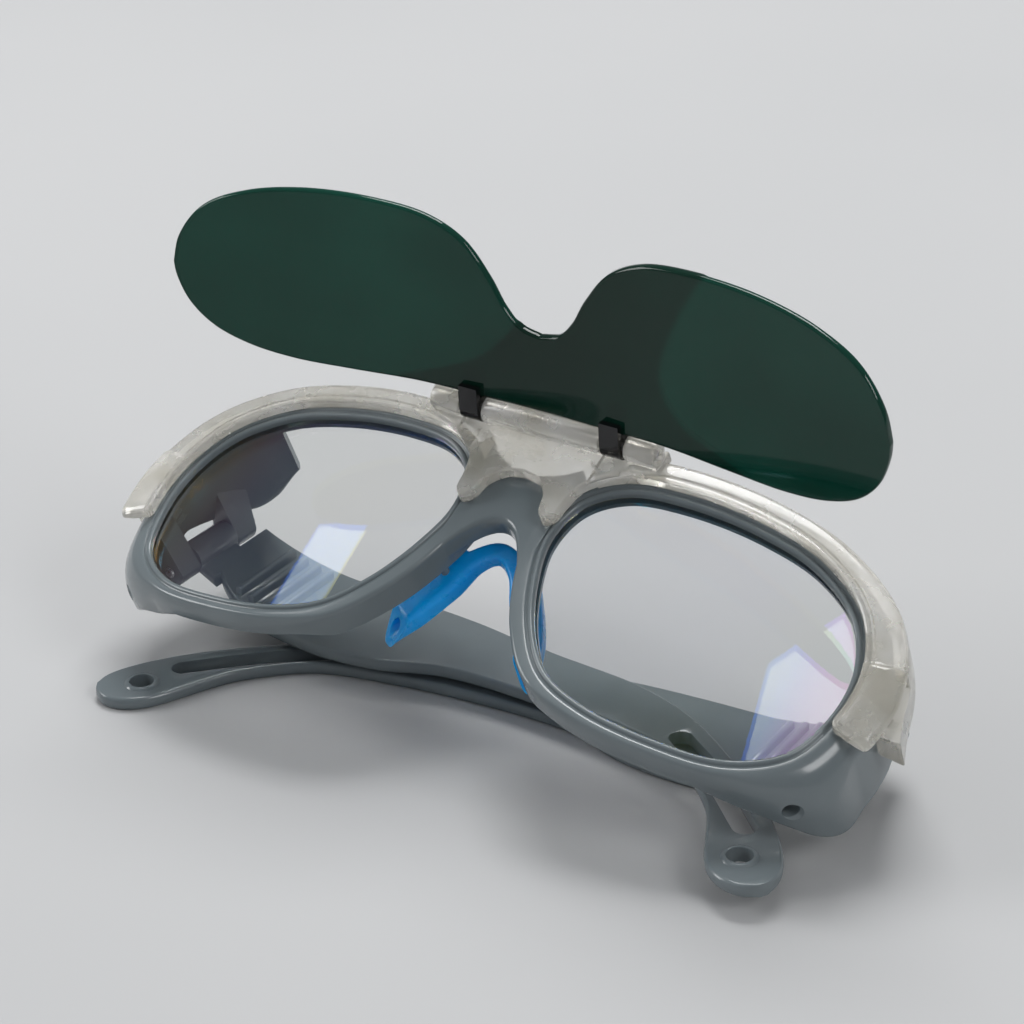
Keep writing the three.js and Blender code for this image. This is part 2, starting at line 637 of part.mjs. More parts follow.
function nosePad() {
  const right = PAD_PATH.map((point) => new THREE.Vector3(...point));
  const left = right.slice(1).reverse().map((point) => new THREE.Vector3(-point.x, point.y, point.z));
  const path = new THREE.CatmullRomCurve3([...left, ...right]);
  const section = new THREE.Shape();
  section.absellipse(0, 0, PAD_THICK / 2, PAD_WIDTH / 2, 0, 360 * DEG, false, 0);
  const body = toSolid(new THREE.ExtrudeGeometry(section, {
    steps: 32,
    curveSegments: 7,
    extrudePath: path,
    bevelEnabled: false,
  }));
  const end = right[right.length - 1];
  const into = path.getTangent(1).negate();
  const bore = new THREE.CylinderGeometry(PAD_BORE_R, PAD_BORE_R, 2 * PAD_BORE_DEPTH, 14);
  bore.applyQuaternion(new THREE.Quaternion().setFromUnitVectors(new THREE.Vector3(0, 1, 0), into));
  bore.translate(end.x, end.y, end.z);
  const cuts = toSolid(bore).add(padNib(path)).add(peg(PEG_R + PEG_CLEAR, PEG_TIP + HINGE_CLEAR));
  return body.subtract(bothSides(cuts));
}

// What the slanted end of a sleeve is cut off with: a block whose one face slopes to the tip
function padNib(path) {
  const end = path.getPoint(1);
  const along = path.getTangent(1);
  const back = new THREE.Vector3(0, 1, 0).addScaledVector(along, -along.y).normalize();
  const from = end.clone().addScaledVector(along, -PAD_NIB).addScaledVector(back, -PAD_THICK / 2);
  const to = end.clone().addScaledVector(back, PAD_THICK / 2 - PAD_TIP);
  const slope = to.clone().sub(from).normalize();
  const across = along.clone().cross(back).normalize();
  const place = new THREE.Matrix4().makeBasis(slope, across, slope.clone().cross(across)).setPosition(from);
  const block = new THREE.BoxGeometry(4 * PAD_NIB, 2 * PAD_WIDTH, 2 * PAD_THICK);
  block.translate(PAD_NIB, 0, PAD_THICK);
  return toSolid(block.applyMatrix4(place));
}

// Finishes

const smokeGrey = { color: 0x69737a, roughness: 0.25, metalness: 0 };
const clearIvory = { color: 0xc8c3b4, roughness: 0.3, metalness: 0 };
const clearLens = { color: 0xdfe4ea, roughness: 0.05, metalness: 0, transparent: true, opacity: 0.3 };
const darkGreen = { color: 0x0c3324, roughness: 0.08, metalness: 0, transparent: true, opacity: 0.9 };
const glossBlack = { color: 0x0b0b0c, roughness: 0.2, metalness: 0 };
const blueSilicone = { color: 0x0b8fdf, roughness: 0.4, metalness: 0 };
const steel = { color: 0xb9bcc0, roughness: 0.3, metalness: 1 };

function part(name, solid, finish) {
  const mesh = new THREE.Mesh(toGeometry(solid), new THREE.MeshStandardMaterial(finish));
  mesh.name = name;
  return mesh;
}

function otherSide(mesh, name) {
  const mesh2 = new THREE.Mesh(mirrored(mesh.geometry), mesh.material.clone());
  mesh2.name = name;
  return mesh2;
}

// Assembly

const front = new THREE.Group();
front.name = 'front';
frontToTemple.decompose(front.position, front.quaternion, front.scale);
const lensRight = part('lens_right', lens(), clearLens);
front.add(
  part('front_frame', frontFrame(), smokeGrey),
  lensRight,
  otherSide(lensRight, 'lens_left'),
  part('nose_pad', nosePad(), blueSilicone),
  part('brow_mount', browMount(), clearIvory),
);

const pin = part('visor_hinge_pin', toSolid(bar('x', PIN_R, -PIN_END, PIN_END, 16)), steel);
pin.position.set(0, VISOR_HINGE_Y, VISOR_HINGE_Z);
front.add(pin);

const visor = new THREE.Group();
visor.name = 'visor';
visor.position.copy(pin.position);
visor.rotation.x = -VISOR_RAISE;
const clipRight = part('visor_clip_right', visorClip(), glossBlack);
clipRight.position.x = CLIP_START + CLIP_WIDTH / 2;
const clipLeft = part('visor_clip_left', visorClip(), glossBlack);
clipLeft.position.x = -clipRight.position.x;
visor.add(part('visor_lens', visorLens(), darkGreen), clipRight, clipLeft);
front.add(visor);

const goggles = new THREE.Group();
goggles.name = 'goggles';
goggles.add(front);

const templeLeft = part('temple_left', temple(), smokeGrey);
templeLeft.position.x = -HINGE_X;
templeLeft.rotation.y = -FOLD_STEP;
const templeRight = otherSide(templeLeft, 'temple_right');
templeRight.position.x = HINGE_X;
templeRight.rotation.y = -FOLD_STEP;
goggles.add(templeLeft, templeRight);

for (const [side, name] of [[-1, 'temple_screw_left'], [1, 'temple_screw_right']]) {
  const screw = part(name, templeScrew(), steel);
  screw.position.set(side * HINGE_X, hingeMiddle, 0);
  goggles.add(screw);
}

// The roll that lays the outer temple flat, then the origin at the bottom centre
goggles.rotation.y = FOLD_STEP;
goggles.updateMatrixWorld(true);
const bounds = new THREE.Box3().setFromObject(goggles, true);
const middle = bounds.getCenter(new THREE.Vector3());
goggles.position.set(-middle.x, -middle.y, -bounds.min.z);

const row = new THREE.Group();
row.name = 'flip_up_welding_goggles';
row.add(goggles);
row.updateMatrixWorld(true);

export default row;
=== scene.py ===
# %% [markdown]
# # Flip-up welding goggles
# The goggles lie on their folded temples with the dark visor raised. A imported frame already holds
# every solid at its true size, so this lesson only dresses it: each moulded piece is worked out
# again as a finer surface in the same place, and each gets a finish of its own. Lengths below are
# millimetres until a mesh is made, and metres from then on.

# %% Frame and tools
import json
import bpy
import numpy as np
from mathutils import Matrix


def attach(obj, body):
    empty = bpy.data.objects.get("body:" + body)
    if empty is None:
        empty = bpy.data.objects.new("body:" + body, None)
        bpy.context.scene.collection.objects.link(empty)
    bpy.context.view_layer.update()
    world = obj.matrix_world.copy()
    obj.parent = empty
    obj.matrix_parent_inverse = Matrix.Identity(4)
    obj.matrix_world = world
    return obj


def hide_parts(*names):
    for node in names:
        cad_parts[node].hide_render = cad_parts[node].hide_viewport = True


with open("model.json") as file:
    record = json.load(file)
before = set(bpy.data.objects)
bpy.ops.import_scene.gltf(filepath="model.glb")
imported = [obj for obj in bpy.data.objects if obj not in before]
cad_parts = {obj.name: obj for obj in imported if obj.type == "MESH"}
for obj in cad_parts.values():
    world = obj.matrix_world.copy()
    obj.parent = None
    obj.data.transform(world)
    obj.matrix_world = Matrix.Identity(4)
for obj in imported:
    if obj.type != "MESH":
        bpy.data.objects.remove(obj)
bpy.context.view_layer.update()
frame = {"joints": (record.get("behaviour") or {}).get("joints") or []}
joints = {joint["name"]: joint for joint in frame["joints"]}

# %% [markdown]
# Three sets of axes are used. The front leans back over the temples, so the rims are drawn face-on
# and then turned into place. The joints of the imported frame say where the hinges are, and
# everything hangs on them: no position is typed in twice.

# %% Axes of the front, the temples and the visor
LEAN = np.radians(25.4)
ROLL = np.radians(1.5)
HINGE_DEPTH = 26.2
PIN_PLACE = np.array([0.0, -8.0, 27.5])
RAISED = np.radians(110)


def turn_x(angle):
    """A turn about X: Y swings towards Z."""
    c, s = np.cos(angle), np.sin(angle)
    return np.array([[1, 0, 0], [0, c, -s], [0, s, c]])


def turn_y(angle):
    """A turn about Y: Z swings towards X."""
    c, s = np.cos(angle), np.sin(angle)
    return np.array([[c, 0, s], [0, 1, 0], [-s, 0, c]])


front_turn = turn_y(ROLL) @ turn_x(LEAN - np.pi / 2)
pin_row = np.array(joints["visor_flip"]["pos_m"]) * 1000
front_origin = pin_row - front_turn @ PIN_PLACE
hinge_middle = HINGE_DEPTH * np.sin(LEAN)


def front_to_row(points):
    """Points drawn face-on, turned and moved into the row frame."""
    return points @ front_turn.T + front_origin


def visor_to_row(points):
    """Points of the closed visor about its pin, raised and moved into the row frame."""
    return points @ (front_turn @ turn_x(-RAISED)).T + pin_row


def hinge_to_front(points):
    """Points in the temples' axes (X across, Y along the hinge, Z up from the temples), face-on."""
    lifted = points - np.array([0, 0, HINGE_DEPTH * np.cos(LEAN)])
    return lifted @ turn_x(LEAN - np.pi / 2)


print("front origin", front_origin.round(2), "pin", pin_row.round(2))

# %% [markdown]
# Most outlines are smooth curves through a few points. A centripetal curve never loops between
# uneven points, and spacing its samples by length keeps the facets even.

# %% Smooth curves
STEPS_PER_SPAN = 40


def smooth_curve(points, count, closed=False):
    """A centripetal cubic through the points, sampled at equal steps of its length."""
    p = np.asarray(points, float)
    if closed:
        a, b, c, d = np.roll(p, 1, 0), p, np.roll(p, -1, 0), np.roll(p, -2, 0)
    else:
        full = np.vstack([2 * p[:1] - p[1:2], p, 2 * p[-1:] - p[-2:-1]])
        a, b, c, d = full[:-3], full[1:-2], full[2:-1], full[3:]
    root = [np.maximum(np.linalg.norm(t - s, axis=1) ** 0.5, 1e-4)[:, None]
            for s, t in ((a, b), (b, c), (c, d))]
    go = ((b - a) / root[0] - (c - a) / (root[0] + root[1]) + (c - b) / root[1]) * root[1]
    come = ((c - b) / root[1] - (d - b) / (root[1] + root[2]) + (d - c) / root[2]) * root[1]
    t = np.linspace(0, 1, STEPS_PER_SPAN, endpoint=False)[None, :, None]
    lines = [b, go, 3 * (c - b) - 2 * go - come, 2 * (b - c) + go + come]
    dense = sum(line[:, None] * t ** power for power, line in enumerate(lines))
    dense = np.vstack([dense.reshape(-1, p.shape[1]), p[:1] if closed else p[-1:]])
    length = np.concatenate([[0], np.cumsum(np.linalg.norm(np.diff(dense, axis=0), axis=1))])
    wanted = np.linspace(0, length[-1], count, endpoint=not closed)
    return np.stack([np.interp(wanted, length, column) for column in dense.T], 1)


# %% [markdown]
# A moulded piece is a union of plain bodies, less its holes. Each body is a closed skin of rings
# with its edges already rounded in the section. Booleans join them exactly, so fine lines in a
# section stay crisp, and edges sharper than a set angle are marked so that they shade as edges.


# %% Skins and unions
def skin(rings, joined=False):
    """Rings of equally many points joined by quads, with flat ends or closed on itself."""
    count, size = rings.shape[:2]
    spans = count if joined else count - 1
    j, i = np.meshgrid(np.arange(spans), np.arange(size), indexing="ij")
    after, here, ahead_of = (i + 1) % size, j * size, (j + 1) % count * size
    quads = np.stack([here + i, here + after, ahead_of + after, ahead_of + i], -1)
    faces = quads.reshape(-1, 4).tolist()
    if not joined:
        faces += [np.arange(size)[::-1].tolist(), (np.arange(size) + (count - 1) * size).tolist()]
    return rings.reshape(-1, 3), faces


def outward_mesh(name, points, faces):
    """A mesh in metres whose faces are turned to the outside."""
    mesh = bpy.data.meshes.new(name)
    mesh.from_pydata((np.asarray(points) / 1000).tolist(), [], faces)
    corners = np.zeros(len(mesh.vertices) * 3)
    mesh.vertices.foreach_get("co", corners)
    mesh.calc_loop_triangles()
    index = np.zeros(len(mesh.loop_triangles) * 3, int)
    mesh.loop_triangles.foreach_get("vertices", index)
    a, b, c = corners.reshape(-1, 3)[index.reshape(-1, 3)].transpose(1, 0, 2)
    if np.einsum("ij,ij->i", a, np.cross(b, c)).sum() < 0:
        mesh.flip_normals()
    return mesh


SHARP_OVER = 35
BEVEL_OVER = 50


def add_object(name, mesh, sharp=SHARP_OVER):
    """Puts a mesh into the scene: smooth shading, with edges over the sharp angle kept."""
    piece = bpy.data.objects.new(name, mesh)
    bpy.context.scene.collection.objects.link(piece)
    mesh.polygons.foreach_set("use_smooth", np.ones(len(mesh.polygons), bool))
    mesh.set_sharp_from_angle(angle=np.radians(sharp))
    return piece


def union(name, skins, cuts=(), sharp=SHARP_OVER, edge=0.0):
    """Closed skins joined and cut by booleans; an edge width in millimetres rounds sharp edges."""
    base = bpy.data.objects.new(name, outward_mesh(name, *skins[0]))
    bpy.context.scene.collection.objects.link(base)
    helpers = []
    for operation, parts in (("UNION", skins[1:]), ("DIFFERENCE", cuts)):
        for part in parts:
            helper = bpy.data.objects.new(f"{name}_tool", outward_mesh(name, *part))
            bpy.context.scene.collection.objects.link(helper)
            step = base.modifiers.new("step", "BOOLEAN")
            step.operation, step.solver, step.object = operation, "MANIFOLD", helper
            helpers.append(helper)
    if edge:
        rounding = base.modifiers.new("edge", "BEVEL")
        rounding.width, rounding.segments = edge / 1000, 2
        rounding.limit_method, rounding.angle_limit = "ANGLE", np.radians(BEVEL_OVER)
    bpy.context.view_layer.update()
    depsgraph = bpy.context.evaluated_depsgraph_get()
    finished = bpy.data.meshes.new_from_object(base.evaluated_get(depsgraph))
    for helper in [base, *helpers]:
        bpy.data.objects.remove(helper)
    finished.name = name
    piece = add_object(name, finished, sharp)
    print(name, "faces", len(finished.polygons))
    return piece


def mirror(part):
    """The same skin on the other side of the nose."""
    points, faces = part
    return points * np.array([-1, 1, 1]), [face[::-1] for face in faces]


def block(low, high):
    """A box between two corners as a skin of two rings."""
    (x0, y0, z0), (x1, y1, z1) = low, high
    ring = np.array([[x0, y0], [x1, y0], [x1, y1], [x0, y1]])
    return skin(np.stack([np.column_stack([ring, np.full(4, z)]) for z in (z0, z1)]))


def rod(radius, start, end, sides=40):
    """A round bar between two points: a circle square to the line, carried along it."""
    start, end = np.asarray(start, float), np.asarray(end, float)
    along = (end - start) / np.linalg.norm(end - start)
    first = np.cross(along, [0.3, 0.9, 0.1])
    first /= np.linalg.norm(first)
    angle = np.linspace(0, 2 * np.pi, sides, endpoint=False)[:, None]
    circle = radius * (np.cos(angle) * first + np.sin(angle) * np.cross(along, first))
    return skin(np.stack([start + circle, end + circle]))


def turned(profile, start, along, sides=48):
    """A profile of radius against length, spun about a line."""
    along = np.asarray(along, float) / np.linalg.norm(along)
    first = np.cross(along, [0.1, 0.2, 0.97])
    first /= np.linalg.norm(first)
    angle = np.linspace(0, 2 * np.pi, sides, endpoint=False)[None, :, None]
    p = np.asarray(profile, float)
    circle = np.cos(angle) * first + np.sin(angle) * np.cross(along, first)
    return skin(np.asarray(start) + p[:, None, 1:] * along + p[:, None, :1] * circle)


def placed(part, move):
    """A skin with its points moved by one of the axis changes."""
    return move(part[0]), part[1]


# %% [markdown]
# The rims follow the lens outline. At each place on it the direction away from the lens is known,
# so a rounded section can be carried round, wider at the outer side, while the depth follows the
# wrap of the face.

# %% Lens outline and rim sections
FRONT_Y = -3.2
WRAP = 290
RIM_DEPTH = 4.8
RIM_WIDTH, WIDER_OUTSIDE, WIDER_AT_NOSE = 3.9, 2.6, 0.8
LENS_OUTLINE = [
    [10.8, 8], [12.8, 16.3], [19, 21.4], [30, 23.3], [45, 22.8], [57, 20], [66.5, 13.5],
    [71, 4], [71, -6], [67.5, -15.5], [59, -21.3], [46, -23], [33, -22], [24, -18.5],
    [17.5, -11], [12.8, -1],
]
outline = smooth_curve(LENS_OUTLINE, 960, closed=True)
ahead = np.roll(outline, -1, 0) - np.roll(outline, 1, 0)
ahead /= np.linalg.norm(ahead, axis=1)[:, None]
outline_away = np.column_stack([-ahead[:, 1], ahead[:, 0]])


def wrap_of(x):
    """Depth of the rims' front face, a parabola across the face."""
    return FRONT_Y + x ** 2 / (2 * WRAP)


def around(shares):
    """Edge points, outward directions and rim widths at shares of the way round the lens."""
    index = np.round(np.asarray(shares) * len(outline)).astype(int) % len(outline)
    edge, away = outline[index], outline_away[index]
    width = RIM_WIDTH + np.where(away[:, 0] > 0, WIDER_OUTSIDE, WIDER_AT_NOSE) * away[:, 0] ** 2
    return edge, away, width


def carried(shares, distances, depths):
    """Rings of a section, which is distance out from the lens edge and depth, at each station."""
    edge, away, _ = around(shares)
    place = edge[:, None] + away[:, None] * distances[..., None]
    return np.stack([place[..., 0], wrap_of(place[..., 0]) + depths, place[..., 1]], -1)


def rounded(corners, radius, steps=6):
    """A closed outline with each corner cut by a quadratic arc of about the given radius."""
    c = np.asarray(corners, float)
    before, after = np.roll(c, 1, 0) - c, np.roll(c, -1, 0) - c
    lengths = [np.linalg.norm(v, axis=1)[:, None] for v in (before, after)]
    r = np.asarray(radius, float).reshape(-1, 1) * np.ones((len(c), 1))
    r = np.minimum(r, 0.48 * np.minimum(*lengths))
    start, end = c + before / lengths[0] * r, c + after / lengths[1] * r
    t = np.linspace(0, 1, steps)[None, :, None]
    arcs = (1 - t) ** 2 * start[:, None] + 2 * t * (1 - t) * c[:, None] + t ** 2 * end[:, None]
    return arcs.reshape(-1, 2)


steps_round = np.linalg.norm(np.diff(outline, axis=0), axis=1)
print("lens outline length", round(float(steps_round.sum()), 1))

# %% [markdown]
# The front is one moulding: two rims, the bridge, the side shields and the hinge lugs. Next to the
# lens the rim carries a fine bead and a groove. Its face then falls away in a long curve, so that
# the shield grows out of it with no edge, except at the nose, where it stays flat to meet the
# bridge.

# %% Rims
SWELL_AT, SWELL_HEIGHT = 0.562, 2.4
RIM_STATIONS = 480
NOSE_FLANGE = 2
# Distance out and depth: the lens groove, the bead and the fine groove
RIM_INSIDE = np.array([
    [0, 4.8], [0, 3.9], [1.15, 3.9], [1.15, 1.4], [0, 1.4], [0, 0.7], [0.08, 0.36], [0.25, 0.12],
    [0.5, 0], [0.8, 0.02], [1.02, 0.16], [1.14, 0.4], [1.3, 0.46], [1.46, 0.4], [1.58, 0.22],
    [1.8, 0.12], [2.1, 0.1],
])


def eased(value):
    """A smooth step: level at 0 and 1, with the cubic 3v^2 - 2v^3 between."""
    value = np.clip(value, 0, 1)
    return value * value * (3 - 2 * value)


def swell(shares):
    """How far the lower outer corner stands out: a hump with level ends, steeper on one side."""
    shares = np.asarray(shares)
    from_top = (shares - SWELL_AT) / np.where(shares < SWELL_AT, 0.05, 0.06)
    return SWELL_HEIGHT * np.clip(1 - from_top ** 2, 0, None) ** 2


def rim_skin():
    """The rim section carried round the lens; its face falls away as a quarter ellipse."""
    shares = np.arange(RIM_STATIONS) / RIM_STATIONS
    _, away, width = around(shares)
    more = swell(shares)[:, None]
    width = width[:, None]
    fall = eased((away[:, :1] + 0.6) / 0.7)
    turn = np.linspace(0, np.pi / 2, 16)[None]
    wide, deep = 0.9 + fall * (width - 3.2), 0.9 + fall * 3.2
    outer = [width - wide + (wide + more) * np.sin(turn),
             0.1 + (deep + 2 * more) * (1 - np.cos(turn))]
    stay = np.ones_like(width)
    end = width + more
    back = RIM_DEPTH + 2 * more + NOSE_FLANGE * eased((-away[:, :1] - 0.3) / 0.4)
    last = [np.concatenate([end, end - 0.5, np.maximum(end - 2.6, 1.7), 1.6 * stay], 1),
            np.concatenate([back - 0.4, back, back, RIM_DEPTH * stay], 1)]
    distances = np.concatenate([stay * RIM_INSIDE[:, 0], outer[0], last[0]], 1)
    depths = np.concatenate([stay * RIM_INSIDE[:, 1], outer[1], last[1]], 1)
    return skin(carried(shares, distances, depths), joined=True)


rim = rim_skin()
print("rim section points", len(rim[0]) // RIM_STATIONS)

# %% [markdown]
# The side shields carry the rim's outer edge back. Seen from the side, their rear edge is one
# smooth curve of depth against height, with a round upper corner. The bridge is a bar whose arch
# and top follow the square of the distance out, and the hinge lugs are parts of barrels with an
# arm to the shield.

# %% Shields, bridge and lugs
REAR_EDGE = [
    [-32, 0], [-29, 2], [-26.9, 5.6], [-25.9, 9], [-24.3, 13.5], [-22.4, 17.7], [-20.6, 20.9],
    [-17.9, 23.7], [-15, 25.3], [-12.2, 26], [-9, 25.9], [-5, 25.2], [-1.9, 24.5], [0.1, 23.8],
    [4, 25.4], [9, 27.8], [13.5, 29.9], [16.4, 30.6], [19, 29], [22, 23.4], [27, 12],
]
SHIELD_FIRST, SHIELD_LAST = 322, 652
HINGE_X = 72
HINGE_R = 3.2
SHIELD_WALL = 77.5
LUG_LENGTH = 5.7


def shield_skin():
    """The rim's outer edge carried back to a rear edge whose depth is a function of height."""
    shares = np.arange(SHIELD_FIRST, SHIELD_LAST) / len(outline)
    edge, away, width = around(shares)
    outside = edge + away * (width + swell(shares))[:, None]
    start = wrap_of(outside[:, 0]) + RIM_DEPTH - 1.6 + 2 * swell(shares)
    rear = np.interp(outside[:, 1], *smooth_curve(REAR_EDGE, 300).T)
    rear = np.maximum(rear, start + 1.4)
    half = np.interp(outside[:, 1], [-10.5, -6.5], [1.3, 0.95])[:, None]
    turn = np.linspace(0, np.pi, 13)[None]
    rows = np.linspace(0, 1, 16)[None, :-1]
    sunk = 0.15 * (1 - rows) ** 2 * np.ones_like(half)
    inward = np.concatenate([sunk, half - half * np.cos(turn), 2 * half * np.ones((1, 15))], 1)
    back = np.concatenate([rows, np.ones((1, 13)), rows[:, ::-1]], 1)
    extra = half * np.concatenate([np.zeros((1, 15)), np.sin(turn), np.zeros((1, 15))], 1)
    depth = start[:, None] + (rear[:, None] - half - start[:, None]) * back + extra
    place = outside[:, None] - away[:, None] * inward[..., None]
    return skin(np.stack([place[..., 0], depth, place[..., 1]], -1))


def bridge_skin():
    """A bar across the nose: top and arch part with the square of the distance out."""
    x = np.linspace(-9.5, 9.5, 81)
    share = (x / 9.5) ** 2
    top, bottom = 19 + 4 * share, 8 - 12.7 * share
    deep = RIM_DEPTH - 0.1
    corners = rounded([[0, 0], [deep, 0], [deep, 12], [0, 12]], [1.7, 1.0, 1.0, 0.8], 8)
    y = wrap_of(x)[:, None] + 0.1 + corners[None, :, 0]
    rise = (top - bottom)[:, None]
    z = bottom[:, None] + np.where(corners[:, 1] < 6, corners[:, 1], corners[:, 1] - 12 + rise)
    return skin(np.stack([np.broadcast_to(x[:, None], y.shape), y, z], -1))


def lug_skin(start, whole):
    """Part of a barrel with an arm to the shield, run along the hinge; the upper arm leans in."""
    angle = np.linspace(np.pi, 1.5 * np.pi if whole else 2 * np.pi, 24)
    arc = np.column_stack([HINGE_X + HINGE_R * np.cos(angle), HINGE_R * np.sin(angle)])
    foot = [[SHIELD_WALL - 1.3, -HINGE_R]] if whole else []
    ring = np.array([*arc.tolist(), *foot, [SHIELD_WALL - 1.3, 9], [SHIELD_WALL - 2.6, 9]])
    arm = (ring[:, 1] > 1) & (not whole)
    rings = np.stack([np.column_stack([ring[:, 0] - arm * lean, np.full(len(ring), y), ring[:, 1]])
                      for y, lean in ((start, 0.9), (start + LUG_LENGTH, 3.9))])
    return placed(skin(rings), hinge_to_front)


side_parts = [shield_skin(), lug_skin(hinge_middle + 6.3, False), lug_skin(hinge_middle - 12, True)]
print("side parts", [len(part[0]) for part in side_parts])

# %% [markdown]
# All of these become one piece. A small drain hole goes through each lower corner, square to the
# wall and widened a little at the outside, and a peg on each rim holds the nose pad.

# %% Front moulding
CORNER_SHARE, CORNER_DEPTH = 0.573, 11.5

corner_edge, corner_away, corner_width = (part[0] for part in around([CORNER_SHARE]))
corner_middle = np.array([corner_edge[0], CORNER_DEPTH, corner_edge[1]])
corner_out = np.array([corner_away[0], 0, corner_away[1]])
corner_wall = corner_width + swell(CORNER_SHARE)
hole_profile = np.array([[1.6, -5], [1.6, -0.45], [2.3, 0.1], [2.3, 2]]) + [0, corner_wall]
corner_hole = turned(hole_profile, corner_middle, corner_out)
peg = rod(0.8, [9, -0.8, -1], [9, 6.4, -1])
side_parts.append(peg)
front_skins = [rim, bridge_skin(), mirror(rim), *side_parts, *[mirror(part) for part in side_parts]]
front_piece = union("front_moulding", [placed(part, front_to_row) for part in front_skins],
                    [placed(part, front_to_row) for part in (corner_hole, mirror(corner_hole))])
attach(front_piece, "front")
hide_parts("front_frame")

# %% [markdown]
# The clear lenses are thin curved sheets. Rings of the outline shrunk towards its middle give a
# smooth sheet, front and back, and the wrap bends both alike. They sit in the rim's groove.

# %% Clear lenses
LENS_INTO_GROOVE, LENS_FRONT, LENS_BACK = 0.95, 1.55, 3.75


def lens_skin():
    """Scaled copies of the lens outline, out to the edge in front and back in again behind."""
    shares = np.arange(160) / 160
    edge, away, _ = around(shares)
    edge = edge + away * LENS_INTO_GROOVE
    middle = edge.mean(0)
    reach = np.linspace(0.02, 1, 26)
    rings = []
    for order, depth in ((reach, LENS_FRONT), (reach[::-1], LENS_BACK)):
        flat = middle + (edge - middle)[None] * order[:, None, None]
        rings.append(np.stack([flat[..., 0], wrap_of(flat[..., 0]) + depth, flat[..., 1]], -1))
    return skin(np.concatenate(rings))


lens_pieces = []
for side, part in (("right", lens_skin()), ("left", mirror(lens_skin()))):
    mesh = outward_mesh("clear_sheet", *placed(part, front_to_row))
    piece = add_object(f"clear_sheet_{side}", mesh)
    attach(piece, "front")
    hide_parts(f"lens_{side}")
    lens_pieces.append(piece)
print("lenses", len(lens_pieces))

# %% [markdown]
# The nose pad is one soft bow of blue silicone: a rounded section carried along a bent path. Each
# leg is a sleeve whose end is cut slanting, like a quill, with the hollow showing on the front
# side.

# %% Nose pad
PAD_PATH = np.array([[0, 4.2, 5.4], [4.9, 5.4, 3.1], [9.2, 7.8, -2.4], [13.4, 9.8, -9.1],
                     [16.8, 11.6, -15]])
NIB = 6.5
PAD_RINGS = 241
PAD_WIDE, PAD_DEEP = 3.1, 2.25
RIGHT_LEG_IN = [1.6, 0, 0.6]
BORE_RADIUS = 1.25


def squarish(wave):
    """The root of a cosine or sine with its sign, which makes a circle a rounded square."""
    return np.sign(wave) * np.abs(wave) ** 0.5


def pad_skin():
    """A rounded section along the bow, thin in the middle; at each end its front side lags."""
    bent = PAD_PATH - RIGHT_LEG_IN * np.linspace(0, 1, 5)[:, None] ** 2
    path = smooth_curve(np.vstack([(PAD_PATH[1:] * [-1, 1, 1])[::-1], bent]), PAD_RINGS)
    along = np.gradient(path, axis=0)
    along /= np.linalg.norm(along, axis=1)[:, None]
    back = np.array([0, 1, 0]) - along * along[:, 1:2]
    back /= np.linalg.norm(back, axis=1)[:, None]
    across = np.cross(along, back)
    s = np.linspace(-1, 1, PAD_RINGS)[:, None]
    angle = np.linspace(0, 2 * np.pi, 64, endpoint=False)[None]
    wide, deep = squarish(np.cos(angle)) * PAD_WIDE, squarish(np.sin(angle)) * PAD_DEEP
    slant = eased((np.abs(s) - 0.5) / 0.5)
    front_side = (PAD_DEEP - deep) / (2 * PAD_DEEP)
    upper, lower = (eased((np.abs(s) - begin) / span)
                    for begin, span in ((0.2, 0.025), (0.05, 0.4)))
    tip = 1 - 0.55 * slant ** 3 * (1 - front_side)
    wide = wide * np.where(wide > 0, 0.6 + 0.4 * upper, 0.6 + 0.4 * lower) * tip
    deep = deep * (0.75 + 0.25 * lower)
    lag = -np.sign(s) * slant * NIB * front_side
    return skin(path[:, None] + across[:, None] * wide[..., None] + back[:, None] * deep[..., None]
                + along[:, None] * lag[..., None])


bore_line = (PAD_PATH[-1] - PAD_PATH[-2]) / np.linalg.norm(PAD_PATH[-1] - PAD_PATH[-2])
pad_bore = rod(BORE_RADIUS, PAD_PATH[-1] - bore_line * NIB, PAD_PATH[-1] + bore_line * 4)
pad_piece = union("silicone_bow", [placed(pad_skin(), front_to_row)],
                  [placed(part, front_to_row) for part in (pad_bore, mirror(pad_bore))], sharp=40)
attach(pad_piece, "front")
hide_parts("nose_pad")

# %% [markdown]
# Each temple is a flat strip between an upper and a lower curve, bowed near its hinge, with full
# round edges. The slot and the cord hole are cut through, a fine bead stands round the hole, and
# short ribs stand on the inner face near the hinge.

# %% Temples
UPPER = [[4, 26], [20, 27], [40, 26.6], [56, 25.2], [74, 21.8], [94, 19.4], [107.5, 14.6],
         [121, 5.4], [135.4, -7.2], [142.4, -16.4], [144.5, -21.6], [144.4, -24.8]]
LOWER = [[4, 9], [9, 5], [15, 2.8], [24, 2.2], [34, 1.4], [45, 2.6], [58, 6.8], [77, 7], [98, 4.6],
         [112, 0.8], [122.6, -8.4], [125.8, -13.4], [128.4, -18.8], [130.6, -23.2], [133, -26.4],
         [136.4, -28.5], [140, -28.8], [142.8, -27.4]]
SLOT = [[110, 6.4], [122, -2.4], [133, -12.8]]
SLOT_HALF = 2.3
CORD = [136.5, -21.2]
CORD_RADIUS = 2.4
CORD_BEAD = np.array([[2, 0], [2, 1.5], [2.45, 1.72], [2.8, 1.76], [3.1, 1.66],
                      [3.4, 1.3], [3.4, 0]])
THICK = 2.6
BOW_LENGTH, BOW_DROP = 28, 9
RIB_FROM, RIB_TO = 5.5, 24
RIB_WIDTH, RIB_TOP = 1.3, 2.9
THROUGH = 20


def bow_of(length):
    """The temple drops away from its hinge axis by a parabola, then runs flat."""
    left = np.clip(1 - length / BOW_LENGTH, 0, None)
    return BOW_DROP * (left ** 2 - 1)


